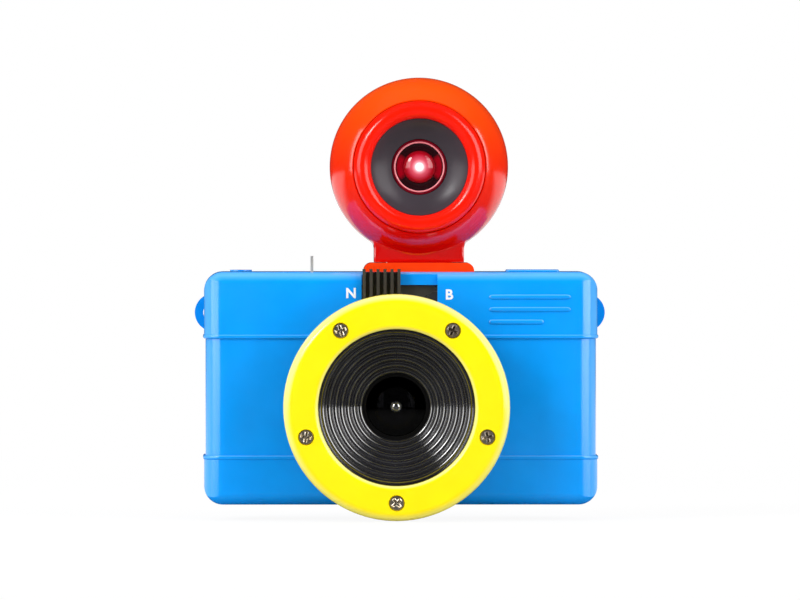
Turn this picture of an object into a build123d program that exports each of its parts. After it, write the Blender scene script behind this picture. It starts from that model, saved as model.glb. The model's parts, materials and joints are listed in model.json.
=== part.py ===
from build123d import *
import os
from math import cos, radians, sin, sqrt

# A small plastic film camera with a clip-on fisheye finder.  All sizes are in millimetres.
# +Z is up, -Y is the front, +X is to the right for someone who looks at the front.
# The origin is at the bottom of the casing, on its middle, where the front and rear shells meet.

# ---------------------------------------------------------------- casing
body_width = 78.8
body_height = 46.6
front_depth = 15.0
wall = 1.6
corner_radius = 3.8
edge_radius = 2.4
side_edge_radius = 3.9
panel_recess = 0.3
panel_low = 9.5
panel_drop = 13.0
rear_side_step = 4.0
rear_depth = 8.0
rear_wall = 1.4
rear_top_step = 0.4
rear_corner_radius = 3.2
flange_depth = 1.6
seat_gap = 0.2
slide_gap = 0.15
fit_gap = 0.05
press_gap = 0.02

# ---------------------------------------------------------------- strap eyes
strap_eye_radius = 3.8
strap_eye_standoff = 2.1
strap_hole_radius = 1.85
strap_eye_hole_standoff = 2.35
strap_eye_drop = 8.35
strap_eye_thickness = 2.4
strap_eye_start = 3.0
strap_eye_tongue_height = 4.0
strap_eye_tongue_thickness = 1.4

# ---------------------------------------------------------------- film door and its hinge
door_depth = 4.4
door_wall = 1.4
door_edge_radius = 2.0
door_gap = 0.1
door_foot_gap = 0.8
knuckle_radius = 1.5
knuckle_count = 5
knuckle_length = 5.0
knuckle_gap = 0.2
knuckle_start = 8.6
pin_radius = 0.8
pin_head_step = 0.4
pin_head_thickness = 0.5
window_width = 18.0
window_height = 12.0
window_middle = 22.0
window_lip = 1.2
window_thickness = 1.0
seal_width = 1.4
seal_height = 1.2
seal_room = 2.0
leaf_spring_thickness = 0.3
leaf_spring_width = 5.0
leaf_spring_length = 13.0
leaf_spring_rise = 1.6
leaf_gap = 0.6
latch_width = 6.0
latch_height = 10.0
latch_travel = 2.0
latch_button_rise = 1.0
tongue_thickness = 1.0
tongue_width = 6.0
tongue_reach = 2.6
catch_inset = 1.0
catch_thickness = 1.0
catch_reach = 1.0
latch_spring_length = 3.6

# ---------------------------------------------------------------- lens and its barrel
lens_x = -1.0
barrel_headroom = 6.3
barrel_overhang = 0.9
barrel_length = 9.5
barrel_shell = 4.4
spigot_inset = 3.2
spigot_length = 1.4
mouth_inset = 5.0
cone_throat_radius = 6.75
cone_steps = 7
cone_step_depth = 1.0
cone_back_wall = 1.55
ring_overlap = 2.0
ring_thickness = 2.7
ring_bevel = 1.8
ring_inner_round = 0.9
ring_skirt_length = 2.4
ring_screw_inset = 1.6
ring_screw_count = 5
cell_wall_radius = 6.65
front_lens_radius = 6.0
front_lens_rim = 1.0
front_lens_crown = 0.55
front_lens_hollow = 0.9
rear_lens_radius = 3.0
rear_lens_rim = 0.8
rear_lens_crown = 0.35
cell_step = 1.5
aperture_radius = 0.7
aperture_thickness = 0.3
pupil_lens_radius = 1.0
pupil_lens_rise = 0.45

# ---------------------------------------------------------------- small screws
screw_head_radius = 1.45
screw_head_height = 0.9
screw_shank_radius = 0.9
cross_recess_length = 1.9
cross_recess_width = 0.45
cross_recess_depth = 0.5
ring_screw_length = 4.6
barrel_screw_length = 4.0
plate_screw_length = 2.4
plate_screw_sink = 0.5
body_screw_length = 9.0
finder_screw_length = 6.0
boss_radius = 2.2
small_boss_radius = 1.8

# ---------------------------------------------------------------- shutter
plate_thickness = 1.0
plate_standoff = 2.6
light_hole_radius = 2.2
blade_thickness = 0.3
blade_gap = 0.3
blade_room = 1.2
blade_cover_radius = 3.0
blade_hub_radius = 2.0
blade_pivot_offset = (-8.0, 8.8)
blade_tail_offset = (-12.6, 11.3)
blade_tail_radius = 1.1
post_radius = 0.8
post_head_radius = 1.35
post_head_height = 0.4
spring_wire = 0.45
striker_pivot_offset = (-16.8, 4.3)
striker_thickness = 0.8
striker_arm_width = 2.4
striker_hub_radius = 2.3
striker_travel_deg = 14.0
striker_kick_offset = (-11.6, 1.9)
striker_gap = 0.4
striker_kick_radius = 0.9
cocking_pin_width = 0.56
cocking_pin_rise = 3.2
cocking_pin_step = 1.1
cocking_slot_room = 1.2

# ---------------------------------------------------------------- release button and lever
button_inset = 18.3
button_width = 10.7
button_depth = 6.0
button_middle_y = -6.5
button_proud = 0.4
button_travel = 1.0
button_flange = 0.8
stem_width = 3.0
stem_reach = 2.3
stem_inset = 1.4
button_spring_radius = 1.3
button_spring_offset = 0.6
release_pivot_x = 8.0
release_pivot_drop = 7.0
release_thickness = 1.2
release_bar_height = 1.7
release_tip = -14.9
release_catch_width = 1.6
release_hub_radius = 2.0
lever_post_radius = 1.0
lever_post_step = 0.5

# ---------------------------------------------------------------- exposure slider
slot_left = -7.9
slot_right = 7.3
slot_recess = 1.0
slot_window_drop = 6.0
slot_top_drop = 2.6
slider_left = -7.7
slider_width = 7.6
slider_travel = 7.2
slider_base_drop = 5.7
slider_base_thickness = 1.1
slider_rib_count = 6
slider_rib_width = 0.62
slider_rib_depth = 1.1
slider_rib_rise = 0.6
carrier_thickness = 1.0
carrier_overlap = 0.7
guide_thickness = 0.6
guide_height = 2.2
guide_inset = 1.2

# ---------------------------------------------------------------- film advance
wheel_inset = 3.4
wheel_y = 2.4
wheel_radius = 5.0
wheel_thickness = 2.0
wheel_grips = 28
wheel_grip_radius = 0.22
axle_radius = 0.9
axle_drop = 17.2
cap_radius = 2.2
cap_height = 0.6
pinion_teeth = 8
pinion_tip_radius = 1.75
pinion_root_radius = 1.3
pinion_length = 4.0
pinion_drop = 16.2
pinion_room = 0.35
pinion_end_room = 0.6
pawl_pivot_offset = (10.0, -4.9)
pawl_contact_deg = -30.0
pawl_tip_gap = 0.15
pawl_width = 1.3
pawl_hub_radius = 1.5
pawl_thickness = 1.8

# ---------------------------------------------------------------- film chamber
chamber_low = 9.2
chamber_drop = 11.4
chamber_inset = 4.8
take_up_width = 16.0
supply_width = 18.0
chamber_floor_y = -8.2
chamber_wall = 1.0
chamber_plate_y = 1.4
chamber_plate_thickness = 1.6
deck_thickness = 1.2
deck_gap = 0.6
tunnel_radius = 8.4
tunnel_wall = 1.1
gate_radius = 6.5
ledge_height = 6.0
ledge_side = 2.1
ledge_thickness = 1.2
ledge_side_drop = 18.6
screw_foot_inset = 5.4
screw_foot_height = 4.8
screw_top_insets = (7.8, 4.4)
screw_top_drop = 6.8
plate_boss_side = 20.5
plate_boss_low = 8.0
plate_boss_side_drop = 15.2
plate_boss_step = (1.43, 3.07)
tab_width = 6.0
tab_rise = 2.1
feeler_inset = 2.7
feeler_drop = 17.0
feeler_width = 1.6
feeler_thickness = 0.8
feeler_length = 7.0
feeler_eye_radius = 1.0
feeler_pin_radius = 0.45
feeler_ear_thickness = 0.8
feeler_tip_reach = 0.5

# ---------------------------------------------------------------- accessory shoe
shoe_middle = 3.65
shoe_width = 22.1
shoe_height = 1.8
shoe_length = 11.2
shoe_front_wall = 1.2
shoe_rear_y = -0.4
shoe_base = 0.3
shoe_lip = 0.65
shoe_corner_radius = 1.6
foot_width = 18.0
foot_gap = 0.1
foot_neck_width = 12.6

# ---------------------------------------------------------------- finder
finder_x = 3.7
finder_rise = 21.0
finder_radius = 17.7
finder_split_y = -4.0
finder_front = 11.0
finder_back = 14.0
finder_wall = 1.6
finder_mouth_radius = 13.5
finder_tail_radius = 8.6
neck_width = 18.0
neck_depth = 12.0
neck_fillet = 4.0
neck_wall = 1.5
spigot_rise = 7.0
bezel_outer_radius = 13.2
bezel_inner_radius = 9.7
bezel_rise = 2.0
bezel_seat = 1.6
cone_disc_radius = 9.65
cone_disc_depth = 2.2
cone_disc_wall = 1.2
finder_lens_radius = 5.6
finder_lens_rim = 1.2
finder_dome_radius = 3.3
finder_dome_rise = 1.5
eyepiece_radius = 8.4
eyepiece_length = 2.4
eyepiece_hole_radius = 6.0
eye_hole_radius = 4.2
eye_lens_radius = 5.0
eye_lens_thickness = 1.2
finder_screw_circle = 14.6
finder_screw_count = 3
finder_boss_radius = 1.9
finder_boss_length = 4.0

# ---------------------------------------------------------------- places worked out from the sizes
half_width = body_width / 2
panel_high = body_height - panel_drop
rear_width = body_width - 2 * rear_side_step
front_y = -front_depth
front_inside = front_y + wall
inner_half = half_width - wall
ceiling = body_height - wall
rear_half = rear_width / 2
rear_inner_half = rear_half - rear_wall
rear_top = body_height - rear_top_step
rear_ceiling = rear_top - rear_wall
door_y = rear_depth + door_gap
door_back = door_y + door_depth
door_top = rear_top - rear_top_step
door_middle = (door_foot_gap + door_top) / 2
door_height = door_top - door_foot_gap
hinge_x = rear_half + knuckle_radius + door_gap
hinge_y = rear_depth + door_gap / 2
rear_leaf_x = rear_half - rear_wall / 2
door_leaf_x = rear_half - door_wall / 2
strap_eye_height = body_height - strap_eye_drop
strap_eye_tongue_y = strap_eye_start + (strap_eye_thickness - strap_eye_tongue_thickness) / 2
barrel_radius = (body_height - barrel_headroom + barrel_overhang) / 2
lens_z = barrel_radius - barrel_overhang
spigot_radius = barrel_radius - spigot_inset
cone_mouth_radius = barrel_radius - mouth_inset
ring_radius = barrel_radius + ring_overlap
ring_opening = cone_mouth_radius + fit_gap
ring_screw_circle = barrel_radius - ring_screw_inset
barrel_front_y = front_y - barrel_length
ring_front_y = barrel_front_y - ring_thickness
throat_y = barrel_front_y + (cone_steps + 1) * cone_step_depth
cell_front_y = throat_y - cone_step_depth / 2
plate_front_y = front_inside + plate_standoff
plate_back_y = plate_front_y + plate_thickness
cell_back_y = plate_front_y - blade_room
blade_back_y = cell_back_y + blade_gap + blade_thickness
blade_pivot = (lens_x + blade_pivot_offset[0], lens_z + blade_pivot_offset[1])
blade_tail = (lens_x + blade_tail_offset[0], lens_z + blade_tail_offset[1])
striker_pivot = (lens_x + striker_pivot_offset[0], lens_z + striker_pivot_offset[1])
striker_kick = (lens_x + striker_kick_offset[0], lens_z + striker_kick_offset[1])
cocking_pin_top = body_height + cocking_pin_rise
button_left = half_width - button_inset
release_pivot = (release_pivot_x, body_height - release_pivot_drop)
slot_window_low = body_height - slot_window_drop
slot_window_high = body_height - slot_top_drop
slider_base_low = body_height - slider_base_drop
slider_rib_top = body_height + slider_rib_rise
wheel_x = wheel_inset - rear_half
axle_bottom = body_height - axle_drop
pinion_bottom = body_height - pinion_drop
pawl_pivot = (wheel_x + pawl_pivot_offset[0], wheel_y + pawl_pivot_offset[1])
chamber_high = body_height - chamber_drop
take_up_left = chamber_inset - rear_half
take_up_right = take_up_left + take_up_width
supply_right = rear_half - chamber_inset
supply_left = supply_right - supply_width
ledge_side_top = body_height - ledge_side_drop
chamber_back_y = chamber_plate_y + chamber_plate_thickness
feeler_x = supply_left - feeler_inset
feeler_z = body_height - feeler_drop
feeler_pivot = (chamber_plate_y - feeler_eye_radius - seat_gap, feeler_z + feeler_length)
feeler_ear_x = feeler_width / 2 + slide_gap + feeler_ear_thickness / 2
deck_low = chamber_high + chamber_wall + deck_gap
deck_high = deck_low + deck_thickness
pilot_radius = screw_shank_radius + press_gap
wheel_low = rear_ceiling - wheel_thickness - seat_gap / 2
finder_z = body_height + finder_rise
finder_front_y = finder_split_y - finder_front
finder_back_y = finder_split_y + finder_back
shoe_front_y = shoe_rear_y - shoe_length
shoe_floor = body_height + shoe_base
lip_low = body_height + shoe_height - shoe_lip
foot_bottom = shoe_floor + foot_gap
foot_thickness = lip_low - foot_gap - foot_bottom
neck_bottom = body_height + shoe_height + foot_gap
barrel_screw_step = ring_screw_circle * sin(radians(45))
screw_top_z = body_height - screw_top_drop
body_screws_at = [(screw_foot_inset - rear_half, screw_foot_height),
                  (rear_half - screw_foot_inset, screw_foot_height),
                  (screw_top_insets[0] - rear_half, screw_top_z),
                  (rear_half - screw_top_insets[1], screw_top_z)]
plate_bosses_at = [(lens_x - plate_boss_side, plate_boss_low), (lens_x + plate_boss_side, plate_boss_low),
                   (lens_x + plate_boss_side, body_height - plate_boss_side_drop),
                   (lens_x - barrel_screw_step + plate_boss_step[0],
                    lens_z + barrel_screw_step + plate_boss_step[1])]


def facing_front(y):
    """A plane across the camera at this depth, whose extrusions run towards the front."""
    return Plane(origin=(0, y, 0), x_dir=(1, 0, 0), z_dir=(0, -1, 0))


def along_lens(x, z):
    """A plane through a fore-and-aft axis at (x, z): its X is the radius, its Y is the depth."""
    return Plane(origin=(x, 0, z), x_dir=(1, 0, 0), z_dir=(0, 0, 1))


def fore_aft_axis(x, z):
    """The fore-and-aft axis through (x, z)."""
    return Axis((x, 0, z), (0, 1, 0))


def ring_points(radius, count, start_deg, x, z):
    """Evenly spaced points on a circle that faces the front."""
    turn = 360 / count
    angles = [radians(start_deg + turn * i) for i in range(count)]
    return [(x + radius * cos(a), z + radius * sin(a)) for a in angles]


def fall_at_half(radius, rise):
    """How far a dome of this radius and rise has fallen, halfway out from its top."""
    sphere = (radius ** 2 + rise ** 2) / (2 * rise)
    return sphere - sqrt(sphere ** 2 - radius ** 2 / 4)


def finish(part, label):
    """Name a finished piece and write it to its own file."""
    part.label = label
    export_step(part, f"parts/{label}.step")


def screws_from_rear(points, head_y, length, head_radius=screw_head_radius):
    """A group of screws whose heads face the rear, with cross recesses."""
    with BuildPart() as group:
        with BuildSketch(facing_front(head_y)):
            with Locations(*points):
                Circle(head_radius)
        extrude(amount=-screw_head_height)
        with BuildSketch(facing_front(head_y)):
            with Locations(*points):
                Circle(screw_shank_radius)
        extrude(amount=length)
        with BuildSketch(facing_front(head_y + screw_head_height - cross_recess_depth)):
            with Locations(*points):
                Rectangle(cross_recess_length, cross_recess_width)
                Rectangle(cross_recess_width, cross_recess_length)
        extrude(amount=-cross_recess_depth, mode=Mode.SUBTRACT)
    return group.part


os.makedirs("parts", exist_ok=True)

ring_screw_points = ring_points(ring_screw_circle, ring_screw_count, -90, lens_x, lens_z)
barrel_screw_points = ring_points(ring_screw_circle, 4, 45, lens_x, lens_z)
cocking_sweep = (body_height - striker_pivot[1]) * sin(radians(striker_travel_deg))
top_slot_left = striker_pivot[0] - cocking_sweep - cocking_slot_room
top_slot_right = striker_pivot[0] + cocking_pin_width / 2 + seat_gap
cocking_y = front_inside + striker_gap + striker_thickness / 2

# ================================================================ casing
# The front shell is a tray, open at the rear.  Its middle panel lies a little lower.
with BuildPart() as front_shell:
    with BuildSketch(facing_front(0)):
        with Locations((0, body_height / 2)):
            RectangleRounded(body_width, body_height, corner_radius)
    extrude(amount=front_depth)
    fillet(front_shell.faces().sort_by(Axis.Y)[0].edges(), edge_radius)
    with BuildSketch(Plane.XY):
        RectangleRounded(body_width, 2 * front_depth, side_edge_radius)
    extrude(amount=body_height, mode=Mode.INTERSECT)
    with BuildSketch(Plane.XY.offset(panel_low)):
        Rectangle(body_width + 2, 2 * front_depth + 2)
        RectangleRounded(body_width - 2 * panel_recess, 2 * (front_depth - panel_recess), side_edge_radius,
                         mode=Mode.SUBTRACT)
    extrude(amount=panel_high - panel_low, mode=Mode.SUBTRACT)
    with BuildSketch(facing_front(0)):
        with Locations((0, body_height / 2)):
            RectangleRounded(body_width - 2 * wall, body_height - 2 * wall, corner_radius - wall)
    extrude(amount=front_depth - wall, mode=Mode.SUBTRACT)
    # bosses for the casing screws and for the shutter plate
    with BuildSketch(facing_front(front_inside)):
        with Locations(*body_screws_at[:2]):
            Circle(boss_radius)
    extrude(amount=front_inside - (chamber_plate_y - ledge_thickness))
    with BuildSketch(facing_front(front_inside)):
        with Locations(*body_screws_at[2:]):
            Circle(boss_radius)
    extrude(amount=front_inside - chamber_plate_y)
    with BuildSketch(facing_front(chamber_plate_y)):
        with Locations(*body_screws_at):
            Circle(pilot_radius)
    extrude(amount=body_screw_length + 1, mode=Mode.SUBTRACT)
    with BuildSketch(facing_front(front_inside)):
        with Locations(*plate_bosses_at):
            Circle(small_boss_radius)
            Circle(pilot_radius, mode=Mode.SUBTRACT)
    extrude(amount=-plate_standoff)
    # the hole that the lens barrel stands in, and its screw holes
    with BuildSketch(facing_front(front_inside)):
        with Locations((lens_x, lens_z)):
            Circle(spigot_radius + fit_gap)
        with Locations(*barrel_screw_points):
            Circle(pilot_radius)
    extrude(amount=wall + 1, mode=Mode.SUBTRACT)
    # the recess and window of the exposure slider
    with BuildSketch(facing_front(front_y + slot_recess)):
        with Locations(((slot_left + slot_right) / 2, (slot_window_low + body_height + 1) / 2)):
            Rectangle(slot_right - slot_left, body_height + 1 - slot_window_low)
    extrude(amount=slot_recess + 1, mode=Mode.SUBTRACT)
    with BuildSketch(facing_front(front_inside)):
        with Locations(((slot_left + slot_right) / 2, (slot_window_low + slot_window_high) / 2)):
            Rectangle(slot_right - slot_left, slot_window_high - slot_window_low)
    extrude(amount=wall + 1, mode=Mode.SUBTRACT)
    # the top's openings: release button and cocking pin
    with BuildSketch(Plane.XY.offset(ceiling)):
        with Locations((button_left + button_width / 2, button_middle_y)):
            Rectangle(button_width + 2 * slide_gap, button_depth + 2 * slide_gap)
        with Locations(((top_slot_left + top_slot_right) / 2, cocking_y)):
            Rectangle(top_slot_right - top_slot_left, striker_thickness + 2 * seat_gap)
    extrude(amount=wall + 1, mode=Mode.SUBTRACT)
finish(front_shell.part, "front_shell")

# The rear shell is a tube behind the front shell, with a flange that fits inside it.
with BuildPart() as rear_shell:
    with BuildSketch(facing_front(rear_depth)):
        with Locations((0, rear_top / 2)):
            RectangleRounded(rear_width, rear_top, rear_corner_radius)
    extrude(amount=rear_depth)
    with BuildSketch(facing_front(0)):
        with Locations((0, body_height / 2)):
            RectangleRounded(body_width - 2 * wall - 2 * seat_gap, body_height - 2 * wall - 2 * seat_gap,
                             corner_radius - wall)
    extrude(amount=flange_depth)
    with BuildSketch(facing_front(rear_depth)):
        with Locations((0, rear_top / 2)):
            RectangleRounded(rear_width - 2 * rear_wall, rear_top - 2 * rear_wall,
                             rear_corner_radius - rear_wall)
    extrude(amount=rear_depth + flange_depth + 1, mode=Mode.SUBTRACT)
    # a ledge that carries the film chamber
    with BuildSketch(facing_front(chamber_plate_y)):
        with Locations((0, (rear_wall + ledge_side_top) / 2)):
            Rectangle(2 * rear_inner_half + rear_wall, ledge_side_top - rear_wall)
        with Locations((0, (rear_wall + ledge_height + ledge_side_top) / 2 + 1)):
            Rectangle(2 * (rear_inner_half - ledge_side), ledge_side_top - rear_wall - ledge_height + 2,
                      mode=Mode.SUBTRACT)
        with Locations(*body_screws_at[:2]):
            Circle(screw_shank_radius + fit_gap, mode=Mode.SUBTRACT)
    extrude(amount=ledge_thickness)
    # the slots that the strap eyes' tongues go through
    with BuildSketch(facing_front(strap_eye_tongue_y + strap_eye_tongue_thickness + fit_gap)):
        with Locations((0, strap_eye_height)):
            Rectangle(rear_width + 2, strap_eye_tongue_height + 2 * fit_gap)
            Rectangle(2 * rear_inner_half - 2 * rear_wall, strap_eye_tongue_height + 2, mode=Mode.SUBTRACT)
    extrude(amount=strap_eye_tongue_thickness + 2 * fit_gap, mode=Mode.SUBTRACT)
    # the catch that the door's latch sits beside
    with BuildSketch(facing_front(rear_depth - catch_inset)):
        with Locations((-rear_inner_half + (catch_reach - rear_wall / 2) / 2, window_middle)):
            Rectangle(catch_reach + rear_wall / 2, tongue_width)
    extrude(amount=catch_thickness)
    # the slot that the advance wheel reaches out of, and the hole for its axle
    with BuildSketch(Plane.XY.offset(wheel_low - 2 * seat_gap)):
        with Locations((wheel_x, wheel_y)):
            Circle(wheel_radius + wheel_grip_radius + seat_gap)
    extrude(amount=wheel_thickness + 2.5 * seat_gap, mode=Mode.SUBTRACT)
    with BuildSketch(Plane.XY.offset(rear_ceiling - seat_gap)):
        with Locations((wheel_x, wheel_y)):
            Circle(axle_radius + fit_gap)
    extrude(amount=rear_wall + 1, mode=Mode.SUBTRACT)
    # hinge knuckles
    for i in range(0, knuckle_count, 2):
        with BuildSketch(Plane.XY.offset(knuckle_start + i * (knuckle_length + knuckle_gap))):
            with Locations((hinge_x, hinge_y)):
                Circle(knuckle_radius)
            with Locations(((rear_leaf_x + hinge_x) / 2, hinge_y - (knuckle_radius + door_gap) / 2)):
                Rectangle(hinge_x - rear_leaf_x, knuckle_radius - door_gap)
            with Locations((hinge_x, hinge_y)):
                Circle(pin_radius + fit_gap, mode=Mode.SUBTRACT)
        extrude(amount=knuckle_length)
finish(rear_shell.part, "rear_shell")

# Each strap eye is a tab outside the rear shell, held by a tongue through the shell's wall.
for side, label in ((-1, "left_strap_eye"), (1, "right_strap_eye")):
    with BuildPart() as strap_eye:
        with BuildSketch(facing_front(strap_eye_start + strap_eye_thickness)):
            with Locations((side * (rear_half + strap_eye_standoff), strap_eye_height)):
                Circle(strap_eye_radius)
            with Locations((side * (rear_half + strap_eye_standoff / 2), strap_eye_height)):
                Rectangle(strap_eye_standoff, 2 * strap_eye_radius)
            with Locations((0, strap_eye_height)):
                Rectangle(rear_width, 3 * strap_eye_radius, mode=Mode.SUBTRACT)
            with Locations((side * (rear_half + strap_eye_hole_standoff), strap_eye_height)):
                Circle(strap_hole_radius, mode=Mode.SUBTRACT)
        extrude(amount=strap_eye_thickness)
        with BuildSketch(facing_front(strap_eye_tongue_y + strap_eye_tongue_thickness)):
            with Locations((side * (rear_half - rear_wall / 2), strap_eye_height)):
                Rectangle(rear_wall, strap_eye_tongue_height)
        extrude(amount=strap_eye_tongue_thickness)
    finish(strap_eye.part, label)

# The film door is a shallow pan with a window and its own hinge knuckles.
with BuildPart() as film_door:
    with BuildSketch(facing_front(door_back)):
        with Locations((0, door_middle)):
            RectangleRounded(rear_width, door_height, rear_corner_radius)
    extrude(amount=door_depth)
    fillet(film_door.faces().sort_by(Axis.Y)[-1].edges(), door_edge_radius)
    with BuildSketch(facing_front(door_back - door_wall)):
        with Locations((0, door_middle)):
            RectangleRounded(rear_width - 2 * door_wall, door_height - 2 * door_wall,
                             rear_corner_radius - door_wall)
    extrude(amount=door_depth, mode=Mode.SUBTRACT)
    # a frame round the window, and the window's opening
    with BuildSketch(facing_front(door_back - door_wall)):
        with Locations((0, window_middle)):
            RectangleRounded(window_width + 4 * window_lip, window_height + 4 * window_lip, window_lip)
    extrude(amount=window_thickness)
    with BuildSketch(facing_front(door_back - door_wall)):
        with Locations((0, window_middle)):
            RectangleRounded(window_width + 2 * window_lip, window_height + 2 * window_lip, window_lip)
    extrude(amount=window_thickness, mode=Mode.SUBTRACT)
    with BuildSketch(facing_front(door_back + 1)):
        with Locations((0, window_middle)):
            RectangleRounded(window_width, window_height, window_lip)
    extrude(amount=door_wall + 1, mode=Mode.SUBTRACT)
    # the latch's recess in the rear face, and the slot that its tongue passes through
    latch_x = -rear_half + door_edge_radius + latch_width / 2 + 1
    with BuildSketch(facing_front(door_back - door_wall)):
        with Locations((latch_x + latch_travel / 2, window_middle)):
            Rectangle(latch_width + latch_travel + 4 * slide_gap, tongue_width + 2 * slide_gap)
    extrude(amount=-door_wall - 1, mode=Mode.SUBTRACT)
    for i in range(1, knuckle_count, 2):
        with BuildSketch(Plane.XY.offset(knuckle_start + i * (knuckle_length + knuckle_gap))):
            with Locations((hinge_x, hinge_y)):
                Circle(knuckle_radius)
            with Locations(((door_leaf_x + hinge_x) / 2, hinge_y + (knuckle_radius + door_gap) / 2)):
                Rectangle(hinge_x - door_leaf_x, knuckle_radius - door_gap)
            with Locations((hinge_x, hinge_y)):
                Circle(pin_radius + fit_gap, mode=Mode.SUBTRACT)
        extrude(amount=knuckle_length)
finish(film_door.part, "film_door")

with BuildPart() as door_window:
    with BuildSketch(facing_front(door_back - door_wall)):
        with Locations((0, window_middle)):
            RectangleRounded(window_width + 2 * window_lip - 2 * press_gap,
                             window_height + 2 * window_lip - 2 * press_gap, window_lip)
    extrude(amount=window_thickness)
finish(door_window.part, "door_window")

with BuildPart() as door_hinge_pin:
    pin_length = knuckle_count * knuckle_length + (knuckle_count - 1) * knuckle_gap
    with BuildSketch(Plane.XY.offset(knuckle_start)):
        with Locations((hinge_x, hinge_y)):
            Circle(pin_radius)
    extrude(amount=pin_length)
    with BuildSketch(Plane.XY.offset(knuckle_start)):
        with Locations((hinge_x, hinge_y)):
            Circle(pin_radius + pin_head_step)
    extrude(amount=-pin_head_thickness)
finish(door_hinge_pin.part, "door_hinge_pin")

# A foam strip lies on the door's inner rim and closes the joint to light.
with BuildPart() as door_seal:
    seal_side = 2 * (door_wall + fit_gap)
    with BuildSketch(facing_front(door_back - door_wall)):
        with Locations((0, door_middle)):
            RectangleRounded(rear_width - seal_side, door_height - seal_side, rear_corner_radius - door_wall)
            Rectangle(rear_width - seal_side - 2 * seal_width, door_height - seal_side - 2 * seal_width,
                      mode=Mode.SUBTRACT)
        with Locations((latch_x, window_middle)):
            Rectangle(latch_width + 2 * (latch_travel + seal_room), latch_height + seal_room,
                      mode=Mode.SUBTRACT)
    extrude(amount=seal_height)
finish(door_seal.part, "door_seal")

# A bowed leaf presses the film cartridge forwards against the gate.
with BuildPart() as cartridge_spring:
    leaf_top = window_middle - window_height / 2 - 2 * window_lip - leaf_gap
    with BuildSketch(Plane(origin=(supply_left + leaf_spring_length / 2, door_back - door_wall, leaf_top),
                           x_dir=(1, 0, 0), z_dir=(0, 0, -1))) as leaf_side:
        with BuildLine():
            half_leaf = leaf_spring_length / 2
            outer = ThreePointArc((-half_leaf, 0), (0, leaf_spring_rise), (half_leaf, 0))
            Line((half_leaf, 0), (half_leaf - leaf_spring_thickness, 0))
            ThreePointArc((half_leaf - leaf_spring_thickness, 0),
                          (0, leaf_spring_rise - leaf_spring_thickness),
                          (-half_leaf + leaf_spring_thickness, 0))
            Line((-half_leaf + leaf_spring_thickness, 0), (-half_leaf, 0))
        make_face()
    extrude(amount=leaf_spring_width)
finish(cartridge_spring.part, "cartridge_spring")

# The latch's button lies on the door, and its tongue reaches forwards beside the shell's catch.
plug_width = latch_width - 2 * slide_gap
with BuildPart() as door_latch:
    with BuildSketch(facing_front(door_back + fit_gap)):
        with Locations((latch_x, window_middle)):
            RectangleRounded(latch_width, latch_height, 1.2)
    extrude(amount=-latch_button_rise)
    chamfer(door_latch.faces().sort_by(Axis.Y)[-1].edges(), 0.3)
    with BuildSketch(facing_front(door_back + fit_gap)):
        with Locations((latch_x, window_middle)):
            Rectangle(plug_width, tongue_width)
    extrude(amount=door_wall + 2 * fit_gap)
    with BuildSketch(facing_front(door_back - door_wall - fit_gap)):
        with Locations((latch_x, window_middle)):
            Rectangle(plug_width, latch_height - 1)
    extrude(amount=tongue_thickness)
    with BuildSketch(facing_front(door_back - door_wall - fit_gap - tongue_thickness)):
        with Locations((latch_x - plug_width / 2 + tongue_thickness / 2, window_middle)):
            Rectangle(tongue_thickness, tongue_width)
    extrude(amount=door_back - door_wall - fit_gap - tongue_thickness - rear_depth + tongue_reach)
finish(door_latch.part, "door_latch")

# A small coil presses the latch back towards the shell's side.
latch_spring_x = latch_x + plug_width / 2 + seat_gap
with BuildPart() as latch_spring:
    with BuildSketch(Plane(origin=(latch_spring_x, door_back - door_wall - spring_wire * 2.6, window_middle),
                           x_dir=(0, 1, 0), z_dir=(1, 0, 0))):
        Circle(spring_wire * 2.2)
        Circle(spring_wire * 1.2, mode=Mode.SUBTRACT)
    extrude(amount=latch_spring_length)
finish(latch_spring.part, "latch_spring")

# ================================================================ lens
# Radii of the cone's steps, from its mouth in the ring to the throat that holds the lens cell.
step_fall = (cone_mouth_radius - cone_throat_radius) / cone_steps
cone_radii = [cone_mouth_radius - step_fall * i for i in range(cone_steps + 1)]

with BuildPart() as lens_barrel:
    with BuildSketch(along_lens(lens_x, lens_z)):
        with BuildLine():
            stairs = [(cone_radii[0], barrel_front_y)]
            for i, radius in enumerate(cone_radii):
                back_y = barrel_front_y + (i + 1) * cone_step_depth
                stairs.append((radius, back_y))
                if i < cone_steps:
                    stairs.append((cone_radii[i + 1], back_y))
            inner_wall = barrel_radius - barrel_shell
            Polyline(*stairs,
                     (cone_throat_radius, front_y + spigot_length),
                     (cone_throat_radius + cone_back_wall, front_y + spigot_length),
                     (cone_throat_radius + cone_back_wall, throat_y + cone_step_depth),
                     (inner_wall, barrel_front_y + 3 * cone_step_depth),
                     (inner_wall, front_y + spigot_length),
                     (spigot_radius, front_y + spigot_length),
                     (spigot_radius, front_y),
                     (barrel_radius, front_y),
                     (barrel_radius, barrel_front_y),
                     close=True)
        make_face()
    revolve(axis=fore_aft_axis(lens_x, lens_z))
    with BuildSketch(facing_front(barrel_front_y)):
        with Locations(*ring_screw_points):
            Circle(pilot_radius)
    extrude(amount=-(ring_screw_length - ring_thickness + 2), mode=Mode.SUBTRACT)
    with BuildSketch(facing_front(front_y)):
        with Locations(*barrel_screw_points):
            Circle(pilot_radius)
    extrude(amount=barrel_screw_length - wall + 0.5, mode=Mode.SUBTRACT)
finish(lens_barrel.part, "lens_barrel")

with BuildPart() as barrel_screws:
    add(screws_from_rear(barrel_screw_points, front_inside, barrel_screw_length))
finish(barrel_screws.part, "barrel_screws")

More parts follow.
